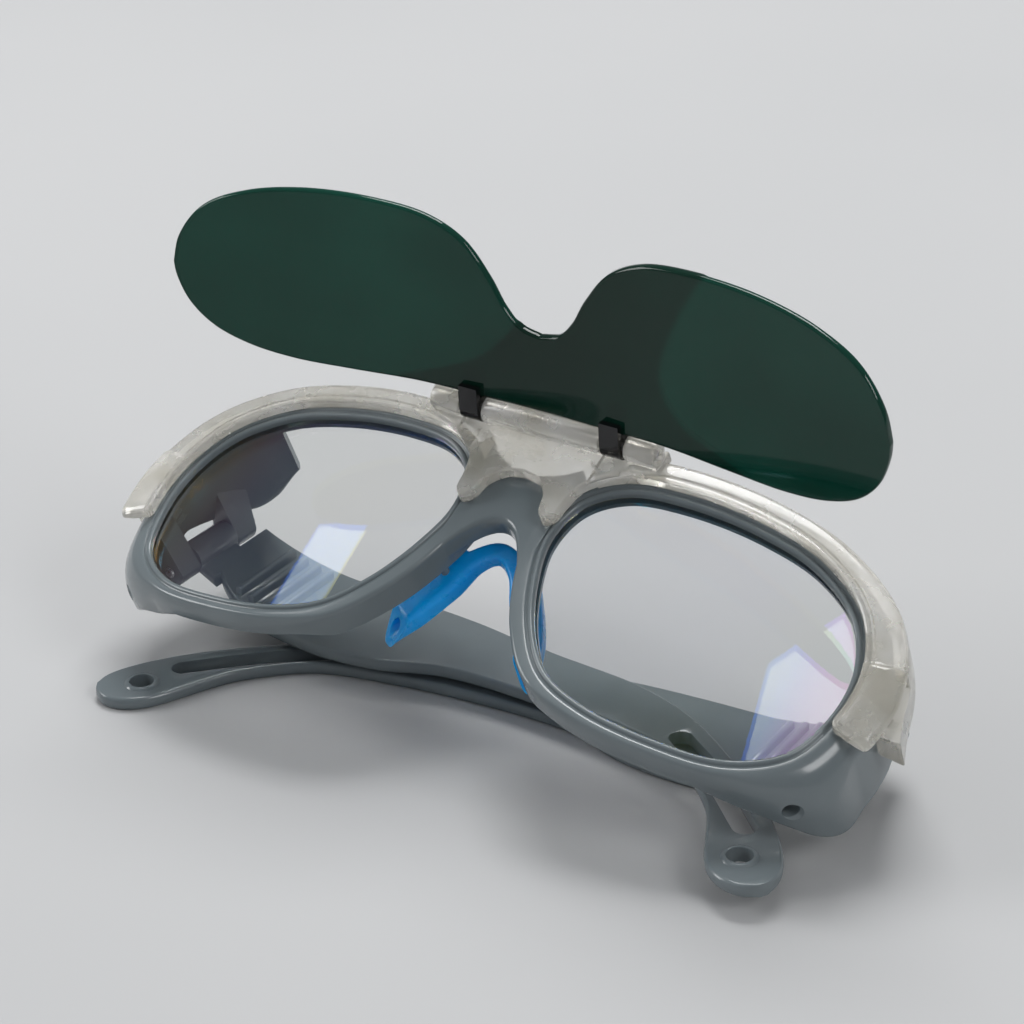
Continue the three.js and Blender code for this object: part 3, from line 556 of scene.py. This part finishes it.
def strip_skin(upper, lower, roundness=0.9):
    """A flat section with half-round edges between points of two edges, following the bow."""
    turn = np.linspace(-np.pi / 2, np.pi / 2, 11)
    inset = np.concatenate([1 - np.cos(turn), 1 - np.cos(turn)]) * roundness
    height = np.concatenate([np.sin(turn), -np.sin(turn)]) * THICK / 2
    near = np.concatenate([np.ones(11), np.zeros(11)])[None, :, None]
    across = lower - upper
    across = across / np.linalg.norm(across, axis=1)[:, None]
    flat = near * upper[:, None] + (1 - near) * lower[:, None]
    flat = flat + across[:, None] * (inset[None, :, None] * (2 * near - 1))
    return skin(np.concatenate([flat, (bow_of(flat[..., 0]) + height)[..., None]], -1))


def spun(centre, profile):
    """A closed profile of radius against height, spun about an upright line into a ring."""
    angle = np.linspace(0, 2 * np.pi, 72, endpoint=False)[:, None]
    p = np.asarray(profile, float)
    x, y = centre[0] + p[:, 0] * np.cos(angle), centre[1] + p[:, 0] * np.sin(angle)
    return skin(np.stack([x, y, np.broadcast_to(p[:, 1], x.shape)], -1), joined=True)


def temple_skins():
    """Strip, web, knuckle, ribs and the bead of one temple, lengths along X from the hinge."""
    body = strip_skin(smooth_curve(UPPER, 181), smooth_curve(LOWER, 181))
    web_x = np.linspace(0, 6, 9)
    web = strip_skin(np.column_stack([web_x, np.full(9, hinge_middle + 6)]),
                     np.column_stack([web_x, np.full(9, hinge_middle - 6)]))
    knuckle = rod(HINGE_R, [0, hinge_middle - 6, 0], [0, hinge_middle + 6, 0])
    bead = spun(CORD, CORD_BEAD + [0, bow_of(CORD[0])])
    ribs = []
    for x in 11 + 3 * np.arange(4):
        base = bow_of(x + RIB_WIDTH / 2)
        corners = np.array([[0, 0], [RIB_WIDTH, 0], [RIB_WIDTH, RIB_TOP], [0, RIB_TOP]]) + [x, base]
        across, up = rounded(corners, [0.05, 0.05, 0.55, 0.55], 5).T
        ends = [np.column_stack([across, np.full(len(up), y), up]) for y in (RIB_FROM, RIB_TO)]
        ribs.append(skin(np.stack(ends)))
    return [body, web, knuckle, bead, *ribs]


def slot_skin():
    """The slot's centre line widened to both sides with round ends, run through the strip."""
    line = smooth_curve(SLOT, 41)
    along = np.gradient(line, axis=0)
    along /= np.linalg.norm(along, axis=1)[:, None]
    side = np.column_stack([-along[:, 1], along[:, 0]]) * SLOT_HALF
    turn = np.linspace(0, np.pi, 14)[1:-1, None]
    first = line[0] + np.cos(turn) * -side[0] - np.sin(turn) * along[0] * SLOT_HALF
    last = line[-1] + np.cos(turn) * side[-1] + np.sin(turn) * along[-1] * SLOT_HALF
    ring = np.vstack([line + side, last, (line - side)[::-1], first])
    return skin(np.stack([np.column_stack([ring, np.full(len(ring), z)])
                          for z in (-THROUGH, THROUGH)]))


cord_hole = rod(CORD_RADIUS, [*CORD, -THROUGH], [*CORD, THROUGH], 72)
temple_pieces = []
for side, sign in (("left", 1), ("right", -1)):
    hinge = np.array(joints[f"temple_{side}_fold"]["pos_m"]) * 1000

    def to_row(points, sign=sign, hinge=hinge):
        """The temple's own lengths, mirrored for the right side, at its hinge."""
        return (points - [0, hinge_middle, 0]) * [sign, 1, 1] + hinge

    piece = union(f"temple_arm_{side}", [placed(part, to_row) for part in temple_skins()],
                  [placed(part, to_row) for part in (slot_skin(), cord_hole)], edge=0.35)
    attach(piece, f"{side}_temple")
    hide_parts(f"temple_{side}")
    temple_pieces.append(piece)

# %% [markdown]
# The brow mount is a cloudy clear moulding clipped over the rims: a strap that follows the top of
# both lenses and ends in a forked finger, a centre plate with two prongs, and the barrels of the
# visor's hinge. A line runs along the strap's inner border, and the front finger is a little
# thicker than the strap and rounded at its end.

# %% Strap and fingers
STRAP_FROM, STRAP_TO, FINGER_FROM = 0.07, 0.513, 0.437
END_SPAN = 0.008
FIT = 0.15
ROOF = 9
STRAP_THICK = 2.8
TAB_SPREAD = 4.2


def strap_skin():
    """An L section carried over the lens: a lined face before the rim and a roof over its edge."""
    end_from = STRAP_TO - END_SPAN
    round_end = end_from + END_SPAN * np.sin(np.linspace(0, np.pi / 2, 10)[1:])
    shares = np.concatenate([np.linspace(STRAP_FROM, end_from, 220), round_end])
    width = around(shares)[2][:, None]
    finger = np.clip((shares - FINGER_FROM) / 0.004, 0, 1)[:, None]
    ending = 1 - np.sqrt(1 - np.clip((shares - end_from) / 0.0081, 0, 1) ** 2)[:, None]
    raised = -2.0 - 0.6 * finger
    lip, dip = -2.3 - 0.3 * finger, -1.7 - 0.9 * finger
    inside, outside = width + FIT, width + FIT + STRAP_THICK - 1.2 * ending
    inner = 1.9 + 1.2 * ending
    one = np.ones_like(width)
    line = [
        [inner, -FIT * one], [inner, -1.5 * one], [inner + 0.12, lip + 0.25], [inner + 0.45, lip],
        [inner + 0.85, lip], [inner + 1.1, lip + 0.15], [inner + 1.25, dip], [inner + 1.6, dip],
        [inner + 1.85, raised], [outside - 1.5, raised], [outside - 0.75, raised + 0.18],
        [outside - 0.25, raised + 0.6], [outside, raised + 1.3], [outside, (ROOF - 0.8) * one],
        [outside - 0.8, ROOF * one], [inside + 0.4, ROOF * one], [inside, (ROOF - 0.4) * one],
        [inside, -FIT * one],
    ]
    distances = np.concatenate([d for d, _ in line], 1)
    depths = np.concatenate([y for _, y in line], 1)
    front = np.minimum(depths, -FIT)
    depths = np.where(depths < -FIT, -FIT + (front + FIT) * (1 - 0.55 * ending), depths)
    return skin(carried(shares, distances, depths))


def tab_skin():
    """The rear finger's end, which bends away from the shield with the square of the way along."""
    t = np.linspace(0, 1, 30)[:, None]
    shares = 0.45 + 0.05 * t[:, 0]
    width = around(shares)[2][:, None]
    corners = [[0, 1.8], [STRAP_THICK, 1.8], [STRAP_THICK, ROOF], [0, ROOF]]
    section = rounded(corners, [0.3, 0.6, 0.9, 0.4], 5)
    distances = width + FIT + TAB_SPREAD * t ** 2 + section[None, :, 0]
    return skin(carried(shares, distances, np.broadcast_to(section[None, :, 1], distances.shape)))


brow_skins = [strap_skin(), tab_skin()]
print("strap points", len(brow_skins[0][0]), "tab points", len(brow_skins[1][0]))

# %% [markdown]
# The centre plate is an outline run from back to front. Three barrels carry the pin, each on a
# short web, and the gaps between them leave room for the clips. A block cut out of each end makes
# the fork, a second one shortens the rear finger, and a pocket behind each clip lets it turn.

# %% Brow mount
PLATE_TOP = [[0, 29.5], [12, 30.2], [24, 30.4]]
PLATE_LOW = [[24, 25.4], [17.5, 23], [12.2, 18.6], [10.9, 14], [10.4, 10.6], [8.8, 9.3],
             [7.1, 10.6], [6, 14.4], [3.4, 17.2], [0, 18]]
PLATE_LAYERS = ((-3.35, 0), (-5.2, 0), (-5.55, 0.1), (-5.75, 0.3), (-5.8, 0.6))
BARRELS = ((-12.6, 12.6), (17.4, 24), (-24, -17.4))
BARREL_RADIUS = 2.6
PIN_BORE = 1.15


def plate_skin():
    """Half an outline with its prong, mirrored, run from back to front with a rounded rim."""
    right = np.vstack([smooth_curve(PLATE_TOP, 31), smooth_curve(PLATE_LOW, 121)])
    ring = np.vstack([right, right[1:-1][::-1] * [-1, 1]])
    along = np.roll(ring, -1, 0) - np.roll(ring, 1, 0)
    along /= np.linalg.norm(along, axis=1)[:, None]
    inward = np.column_stack([along[:, 1], -along[:, 0]])
    rings = []
    for y, inset in PLATE_LAYERS:
        flat = ring + inward * inset
        rings.append(np.column_stack([flat[:, 0], np.full(len(flat), y), flat[:, 1]]))
    return skin(np.stack(rings))


fork_edge = around([STRAP_TO])[0][0]
fork_front = wrap_of(fork_edge[0] + 6.5)
fork_corner = np.array([fork_edge[0], fork_front, fork_edge[1]])
fork = block(fork_corner + [-2.8, -FIT, -15], fork_corner + [18, 3.6, 15])
rear_end = block(fork_corner + [-2.8, 1.8, -15], fork_corner + [18, 18, 4])
pocket = block([12.6, -14, PIN_PLACE[2] - 8.4], [17.4, -4.9, 40])
strap, tab = brow_skins
brow_skins = [plate_skin(), strap, mirror(strap), tab, mirror(tab)]
for x0, x1 in BARRELS:
    soft = 0.5 if x1 - x0 > 10 else 0.9
    chamfer = np.array([[-soft, 0], [-0.3 * soft, 0.3 * soft], [0, soft]])
    barrel = np.vstack([chamfer + [BARREL_RADIUS, x0],
                        chamfer[::-1] * [1, -1] + [BARREL_RADIUS, x1]])
    brow_skins.append(turned(barrel, PIN_PLACE, [1, 0, 0], 64))
    web = [[x0 + 0.2, PIN_PLACE[1], PIN_PLACE[2] - 1.8], [x1 - 0.2, -3.95, PIN_PLACE[2] + 1.8]]
    brow_skins.append(block(*web))
bore = rod(PIN_BORE, PIN_PLACE - [40, 0, 0], PIN_PLACE + [40, 0, 0])
brow_cuts = [fork, mirror(fork), rear_end, mirror(rear_end), pocket, mirror(pocket), bore]
brow_piece = union("brow_moulding", [placed(part, front_to_row) for part in brow_skins],
                   [placed(part, front_to_row) for part in brow_cuts])
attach(brow_piece, "front")
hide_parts("brow_mount")

# %% [markdown]
# The visor is a bent sheet between a near and a far edge. Both eye areas are let in by a fraction
# of a millimetre, so the sheet's outer face steps down along two curves; a smooth step of the
# distance does that.

# %% Visor
NEAR = [[0, 3], [12, 3], [26, 3.4], [40, 3.2], [52, 3.6], [61, 5.4], [67.6, 8.6],
        [71.8, 13.2], [73.8, 18.6], [74.1, 22]]
FAR = [[0, 18.7], [4, 19.8], [7, 23], [10, 28.4], [15, 34.8], [22, 38.4], [33, 39.9], [47, 39.8],
       [58.8, 37.8], [67.1, 34.2], [72.3, 28], [74.1, 22]]
BENT = 265
SHEET_HALF = 1
RIGHT_EYE = [[38, 44], [32.9, 36.6], [27.9, 26.6], [25.6, 18.5], [26.6, 13.2], [31, 8.5],
             [40.3, 5.2], [49.6, 1.2]]
LEFT_EYE = [[0, 44], [3, 24], [5.3, 19.6], [11, 13.1], [16.5, 9.7], [21.9, 7.1],
            [30, 4.1], [38, 2.1]]
EYE_DEPTH, EYE_BLEND = 0.4, 1.6
VISOR_COLUMNS, VISOR_ROWS = 190, 96


def visor_skin():
    """Columns from the near to the far edge, bent across, with the eye areas let in in front."""
    near, far = (smooth_curve(curve, VISOR_COLUMNS) for curve in (NEAR, FAR))
    side = np.concatenate([-np.ones(VISOR_COLUMNS - 1), np.ones(VISOR_COLUMNS)])
    near, far = (np.vstack([curve[:0:-1], curve]) for curve in (near, far))
    rows = 0.5 - 0.5 * np.cos(np.linspace(0, np.pi, VISOR_ROWS))
    flat = near[:, None] + (far - near)[:, None] * rows[None, :, None]
    right, left = (smooth_curve(curve, 200)[::-1].T for curve in (RIGHT_EYE, LEFT_EYE))
    right, left = (flat[..., 0] - np.interp(flat[..., 1], up, out) for out, up in (right, left))
    inside = np.where(side[:, None] > 0, right, left)
    eye_area = eased(inside / EYE_BLEND + 0.5)
    step = eye_area * EYE_DEPTH
    edge_gap = np.minimum(rows, 1 - rows)[None, :] * np.linalg.norm(far - near, axis=1)[:, None]
    thin = 0.45 * np.clip(1 - edge_gap / 0.6, 0, 1) ** 2
    depth = flat[..., 0] ** 2 / (2 * BENT)
    x = flat[..., 0] * side[:, None]
    front = np.stack([x, depth - SHEET_HALF + thin + step, -flat[..., 1]], -1)
    back = np.stack([x, depth + SHEET_HALF - thin, -flat[..., 1]], -1)
    both_faces = np.concatenate([eye_area, eye_area[:, ::-1]], 1).ravel()
    return skin(np.concatenate([front, back[:, ::-1]], 1)), both_faces


visor_part, eye_area = visor_skin()
visor_mesh = outward_mesh("green_sheet", *placed(visor_part, visor_to_row))
visor_piece = add_object("green_sheet", visor_mesh, sharp=50)
visor_piece.data.attributes.new("eye_area", "FLOAT", "POINT").data.foreach_set("value", eye_area)
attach(visor_piece, "visor")
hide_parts("visor_lens")
print("visor faces", len(visor_piece.data.polygons))

# %% [markdown]
# Two black clips hold the sheet by its near edge and turn on the pin. Their corners are rounded by
# a bevel.

# %% Clips
CLIP_MIDDLE = 15.0
CLIP_HALF = 2


def clip_skins(middle):
    """A knuckle on the pin with a long outer jaw and a short inner one."""
    sheet = CLIP_MIDDLE ** 2 / (2 * BENT)
    low, high = middle - CLIP_HALF, middle + CLIP_HALF
    knuckle = rod(BARREL_RADIUS, [low, 0, 0], [high, 0, 0], 56)
    jaws = block([low, sheet - 2.32, -7.4], [high, sheet + 2.32, 0])
    mouth = block([low - 1, sheet - 1.1, -9], [high + 1, sheet + 1.1, -2.88])
    trim = block([low - 1, sheet, -9], [high + 1, sheet + 4, -5.2])
    return [knuckle, jaws], [mouth, trim]


clip_pieces = []
for side, middle in (("left", -CLIP_MIDDLE), ("right", CLIP_MIDDLE)):
    solids, cuts = clip_skins(middle)
    piece = union(f"black_jaw_{side}", [placed(part, visor_to_row) for part in solids],
                  [placed(part, visor_to_row) for part in cuts], edge=0.4)
    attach(piece, "visor")
    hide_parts(f"visor_clip_{side}")
    clip_pieces.append(piece)

# %% [markdown]
# The pin and the hinge screws are turned steel. A profile spun about its own axis is all they
# need, and the screw heads get a driver slot.

# %% Pin and screws
# Radius against length along the axis
PIN_PROFILE = [[0.7, -23.5], [1, -23.2], [1, 23.2], [0.7, 23.5]]
SCREW_PROFILE = [[0.8, -12.4], [1.1, -12.1], [1.1, 12.3], [2, 12.3], [2.1, 12.5], [2.1, 13.2],
                 [1.9, 13.5], [0.3, 13.5]]

pin_piece = union("hinge_rod", [turned(PIN_PROFILE, pin_row, front_turn @ [1, 0, 0])])
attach(pin_piece, "front")
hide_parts("visor_hinge_pin")
steel_pieces = [pin_piece]
for side in ("left", "right"):
    hinge = np.array(joints[f"temple_{side}_fold"]["pos_m"]) * 1000
    slot_cut = block(hinge + [-3, 12.9, -0.3], hinge + [3, 14.5, 0.3])
    piece = union(f"hinge_screw_{side}", [turned(SCREW_PROFILE, hinge, [0, 1, 0])], [slot_cut])
    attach(piece, "front")
    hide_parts(f"temple_screw_{side}")
    steel_pieces.append(piece)

# %% [markdown]
# Finishes are node materials on object coordinates, so their grain keeps its real size on every
# piece. A few helpers keep the trees short.


# %% Material helpers
def finish(name, **sockets):
    """A principled material with its constant sockets set."""
    material = bpy.data.materials.new(name)
    material.use_nodes = True
    shader = material.node_tree.nodes["Principled BSDF"]
    for socket, value in sockets.items():
        shader.inputs[socket.replace("_", " ")].default_value = value
    return material, shader


def speckle(material, scale, detail=3.0, stretch=(1, 1, 1)):
    """Noise on object coordinates, stretched along the axes; the scale is cells per metre."""
    nodes, links = material.node_tree.nodes, material.node_tree.links
    place = nodes.new("ShaderNodeTexCoord")
    mapping = nodes.new("ShaderNodeMapping")
    mapping.inputs["Scale"].default_value = stretch
    noise = nodes.new("ShaderNodeTexNoise")
    noise.inputs["Scale"].default_value = scale
    noise.inputs["Detail"].default_value = detail
    links.new(place.outputs["Object"], mapping.inputs["Vector"])
    links.new(mapping.outputs["Vector"], noise.inputs["Vector"])
    return noise.outputs["Fac"]


def ramp(material, value, stops):
    """Colours spread over a value."""
    node = material.node_tree.nodes.new("ShaderNodeValToRGB")
    while len(node.color_ramp.elements) < len(stops):
        node.color_ramp.elements.new(0.5)
    for element, (place, colour) in zip(node.color_ramp.elements, stops):
        element.position, element.color = place, (*colour, 1)
    material.node_tree.links.new(value, node.inputs["Fac"])
    return node.outputs["Color"]


def tint(material, shader, value, stops):
    """The base colour from colours spread over a value."""
    material.node_tree.links.new(ramp(material, value, stops), shader.inputs["Base Color"])


def polish(material, shader, value, low, high):
    """The roughness from a value between 0.3 and 0.7, stretched to a low and a high number."""
    node = material.node_tree.nodes.new("ShaderNodeMapRange")
    for socket, number in (("From Min", 0.3), ("From Max", 0.7), ("To Min", low), ("To Max", high)):
        node.inputs[socket].default_value = number
    material.node_tree.links.new(value, node.inputs["Value"])
    material.node_tree.links.new(node.outputs["Result"], shader.inputs["Roughness"])


def bump(material, shader, height, strength, distance):
    """Small relief from a height value."""
    node = material.node_tree.nodes.new("ShaderNodeBump")
    node.inputs["Strength"].default_value = strength
    node.inputs["Distance"].default_value = distance
    material.node_tree.links.new(height, node.inputs["Height"])
    material.node_tree.links.new(node.outputs["Normal"], shader.inputs["Normal"])


def dress(pieces, material):
    """Gives one material to several pieces."""
    for piece in pieces:
        piece.data.materials.clear()
        piece.data.materials.append(material)
    print("dressed", len(pieces), "with", material.name)


# %% [markdown]
# Smoke grey: a polished plastic that lets a little light in. Slow cloudy changes of colour and
# roughness keep it from looking painted, and a clear coat gives the sharp highlight along its
# edges.

# %% Smoke grey plastic
smoke, shader = finish("smoke_grey_plastic", Specular_IOR_Level=0.42, Coat_Weight=0.28,
                       Coat_Roughness=0.05, Subsurface_Weight=0.15,
                       Subsurface_Radius=(0.002, 0.0022, 0.0024), Subsurface_Scale=1.0)
tint(smoke, shader, speckle(smoke, 38), [(0.3, (0.135, 0.162, 0.174)), (0.7, (0.17, 0.2, 0.212))])
polish(smoke, shader, speckle(smoke, 90), 0.15, 0.25)
bump(smoke, shader, speckle(smoke, 300, 2), 0.02, 0.0003)
dress([front_piece, *temple_pieces], smoke)

# %% [markdown]
# Cloudy clear: the brow mount is clear plastic with a milky, slightly warm cast and blotches where
# the mould left it matt. Most light passes with a soft blur, so the grey rim shows through, and
# the milky rest keeps its edges bright.

# %% Cloudy clear plastic
cloudy, shader = finish("cloudy_clear_plastic", IOR=1.47, Transmission_Weight=0.72, Coat_Weight=0.3,
                        Coat_Roughness=0.05)
tint(cloudy, shader, speckle(cloudy, 95, 4, (1, 1, 1.6)),
     [(0.32, (0.8, 0.77, 0.68)), (0.5, (0.93, 0.91, 0.85)), (0.7, (0.99, 0.98, 0.95))])
polish(cloudy, shader, speckle(cloudy, 150), 0.08, 0.36)
bump(cloudy, shader, speckle(cloudy, 260, 2), 0.03, 0.0003)
dress([brow_piece], cloudy)

# %% [markdown]
# Coated clear sheet: almost all light passes, and a thin film tints what is mirrored in it. The
# film thins out towards the outer side of each lens, which turns the tint from cyan to lilac and
# pink.

# %% Coated clear sheet
FILM_FROM, FILM_TO = 0.048, 0.072     # metres out from the nose
FILM_THICK, FILM_THIN = 432.0, 340.0  # nanometres

# The light grey base colour is painted reflection: it stands in for the grey veil the lenses mirror
clear, shader = finish("coated_clear_sheet", Base_Color=(0.88, 0.895, 0.9, 1), IOR=1.56,
                       Transmission_Weight=1.0, Thin_Film_IOR=1.25)
nodes, links = clear.node_tree.nodes, clear.node_tree.links
place, split, side, film = (nodes.new(f"ShaderNode{kind}")
                            for kind in ("TexCoord", "SeparateXYZ", "Math", "MapRange"))
side.operation, film.interpolation_type = "ABSOLUTE", "SMOOTHSTEP"
for socket, value in (("From Min", FILM_FROM), ("From Max", FILM_TO),
                      ("To Min", FILM_THICK), ("To Max", FILM_THIN)):
    film.inputs[socket].default_value = value
links.new(place.outputs["Object"], split.inputs["Vector"])
links.new(split.outputs["X"], side.inputs[0])
links.new(side.outputs["Value"], film.inputs["Value"])
links.new(film.outputs["Result"], shader.inputs["Thin Film Thickness"])
polish(clear, shader, speckle(clear, 60), 0.0, 0.02)
dress(lens_pieces, clear)

# %% [markdown]
# Welding green: so dark that it is nearly closed to light, with a polished face. A slow change of
# green keeps the large face alive, and fine streaks lie along it from moulding. The mesh carries
# an attribute that is 1 in the eye areas, and it mixes a lighter green in there. That lighter green
# is partly the sheet's own and partly a painted reflection of the light the eye areas catch.

# %% Welding green sheet
green, shader = finish("welding_green_sheet", IOR=1.36, Transmission_Weight=0.35)
nodes, links = green.node_tree.nodes, green.node_tree.links
area, mix = nodes.new("ShaderNodeAttribute"), nodes.new("ShaderNodeMix")
area.attribute_name, mix.data_type = "eye_area", "RGBA"
drift = speckle(green, 22, 2, (1, 0.6, 1))
links.new(area.outputs["Fac"], mix.inputs["Factor"])
# The B colours, the lighter green of the eye areas, are partly a painted reflection
for socket, dark, light in (("A", (0.002, 0.022, 0.013), (0.004, 0.04, 0.025)),
                            ("B", (0.003, 0.045, 0.029), (0.006, 0.085, 0.056))):
    links.new(ramp(green, drift, [(0.3, dark), (0.7, light)]), mix.inputs[socket])
links.new(mix.outputs["Result"], shader.inputs["Base Color"])
polish(green, shader, speckle(green, 160, 2, (4, 1, 0.4)), 0.02, 0.06)
dress([visor_piece], green)

# %% [markdown]
# Black clips, blue silicone and turned steel are small, but each shows up close: moulding grain on
# the black, a soft sheen and depth in the silicone, and turning lines on the steel.

# %% Small finishes
black, shader = finish("gloss_black_plastic", Specular_IOR_Level=0.3, Coat_Weight=0.35,
                       Coat_Roughness=0.05)
tint(black, shader, speckle(black, 700),
     [(0.3, (0.003, 0.003, 0.0035)), (0.7, (0.007, 0.007, 0.008))])
polish(black, shader, speckle(black, 500), 0.06, 0.14)
dress(clip_pieces, black)

silicone, shader = finish("blue_silicone_rubber", IOR=1.41, Subsurface_Weight=0.25,
                          Subsurface_Radius=(0.0005, 0.001, 0.002), Subsurface_Scale=1.0,
                          Coat_Weight=0.25, Coat_Roughness=0.2)
tint(silicone, shader, speckle(silicone, 130), [(0.3, (0.0, 0.3, 0.78)), (0.7, (0.0, 0.39, 0.92))])
polish(silicone, shader, speckle(silicone, 320), 0.22, 0.38)
bump(silicone, shader, speckle(silicone, 900, 2), 0.04, 0.0001)
dress([pad_piece], silicone)

steel, shader = finish("turned_steel", Metallic=1.0)
tint(steel, shader, speckle(steel, 300, 2, (8, 1, 8)),
     [(0.3, (0.5, 0.5, 0.51)), (0.7, (0.68, 0.68, 0.7))])
polish(steel, shader, speckle(steel, 900, 2, (1, 6, 1)), 0.2, 0.36)
dress(steel_pieces, steel)

# %% [markdown]
# The stage is a pale sheet of paper that lies flat under the goggles and curves up behind them, so
# no corner shows. It is one profile carried sideways, in metres, and it is no part of the object.

# %% Floor
FLOOR_NEAR, FLOOR_BEND, BEND_RADIUS = -2.2, 1.4, 0.5
WALL_TOP = 2.6
FLOOR_HALF = 3


def sheet_points():
    """A floor that bends up into a wall along one line, as a profile carried sideways."""
    turn = np.linspace(0, np.pi / 2, 24)
    bend = np.column_stack([FLOOR_BEND + BEND_RADIUS * np.sin(turn),
                            BEND_RADIUS - BEND_RADIUS * np.cos(turn)])
    profile = np.vstack([[FLOOR_NEAR, 0], bend, [FLOOR_BEND + BEND_RADIUS, WALL_TOP]])
    x = np.linspace(-FLOOR_HALF, FLOOR_HALF, 3)
    return np.stack(np.broadcast_arrays(x[:, None], profile[None, :, 0], profile[None, :, 1]), -1)


grid = sheet_points()
rows, columns = grid.shape[:2]
j, i = np.meshgrid(np.arange(rows - 1), np.arange(columns - 1), indexing="ij")
cell = (j * columns + i)[..., None] + np.array([0, columns, columns + 1, 1])
floor_mesh = bpy.data.meshes.new("pale_floor")
floor_mesh.from_pydata(grid.reshape(-1, 3).tolist(), [], cell.reshape(-1, 4).tolist())
floor = add_object("pale_floor", floor_mesh)
paper, shader = finish("pale_paper", Roughness=0.9, Specular_IOR_Level=0.2)
tint(paper, shader, speckle(paper, 3), [(0.3, (0.47, 0.475, 0.48)), (0.7, (0.5, 0.503, 0.507))])
dress([floor], paper)

# %% [markdown]
# Three large soft lamps light the goggles from above and from both sides, and a dim even
# background fills the shadows. Two small lamps stand where the lenses mirror them to the camera,
# and the film tints their glints.

# %% Lamps
# Name, place, aim, width of the square and power
LAMPS = (
    ("overhead", (-0.25, 0.62, 1.33), (0, 0, 0.03), 0.75, 18),
    ("from_left", (-1.2, -0.5, 0.7), (0, 0, 0.04), 0.6, 7),
    ("from_right", (1.1, -0.2, 0.9), (0, 0, 0.04), 0.5, 5),
    ("right_lens_glint", (0.125, 0.035, 0.95), (0.06, -0.01, 0.03), 0.12, 0.17),
    ("left_lens_glint", (-0.637, 0.09, 0.752), (-0.03, -0.015, 0.03), 0.08, 0.07),
)


def soft_lamp(name, place, aim, size, power):
    """A square lamp that looks at a point."""
    lamp = bpy.data.lights.new(name, "AREA")
    lamp.shape, lamp.size, lamp.energy = "SQUARE", size, power
    holder = bpy.data.objects.new(name, lamp)
    z = np.asarray(place, float) - np.asarray(aim, float)
    z /= np.linalg.norm(z)
    x = np.cross([0, 0, 1], z)
    x /= np.linalg.norm(x)
    matrix = np.eye(4)
    matrix[:3, 0], matrix[:3, 1], matrix[:3, 2], matrix[:3, 3] = x, np.cross(z, x), z, place
    holder.matrix_world = matrix.T.tolist()
    bpy.context.scene.collection.objects.link(holder)


for lamp_values in LAMPS:
    soft_lamp(*lamp_values)
world = bpy.data.worlds.new("studio")
bpy.context.scene.world = world
world.use_nodes = True
background = world.node_tree.nodes["Background"]
background.inputs["Color"].default_value = (0.8, 0.82, 0.85, 1)
background.inputs["Strength"].default_value = 0.35
bpy.context.scene.view_settings.view_transform = "Standard"
print("lamps", len(LAMPS))

# %% [markdown]
# The camera stands where the photograph was taken: its place and its three directions come from
# solving the view of the frame, and the lens from the picture's width.

# %% Camera
VIEW_RIGHT = np.array([0.84886, 0.52813, -0.02259])
VIEW_DOWN = np.array([0.22449, -0.39885, -0.88911])
VIEW_AHEAD = np.array([-0.47858, 0.74966, -0.45713])
VIEW_FROM = [0.24502, -0.37413, 0.27542]
SENSOR_WIDTH = 36
FOCAL_PIXELS, PICTURE_WIDTH = 2800, 1024

pose = np.eye(4)
pose[:3, 0], pose[:3, 1], pose[:3, 2], pose[:3, 3] = VIEW_RIGHT, -VIEW_DOWN, -VIEW_AHEAD, VIEW_FROM
view = bpy.data.cameras.new("view")
view.sensor_width, view.lens = SENSOR_WIDTH, SENSOR_WIDTH * FOCAL_PIXELS / PICTURE_WIDTH
camera = bpy.data.objects.new("view", view)
camera.matrix_world = pose.T.tolist()
bpy.context.scene.collection.objects.link(camera)
bpy.context.scene.camera = camera
print("lens", round(view.lens, 1), "mm")
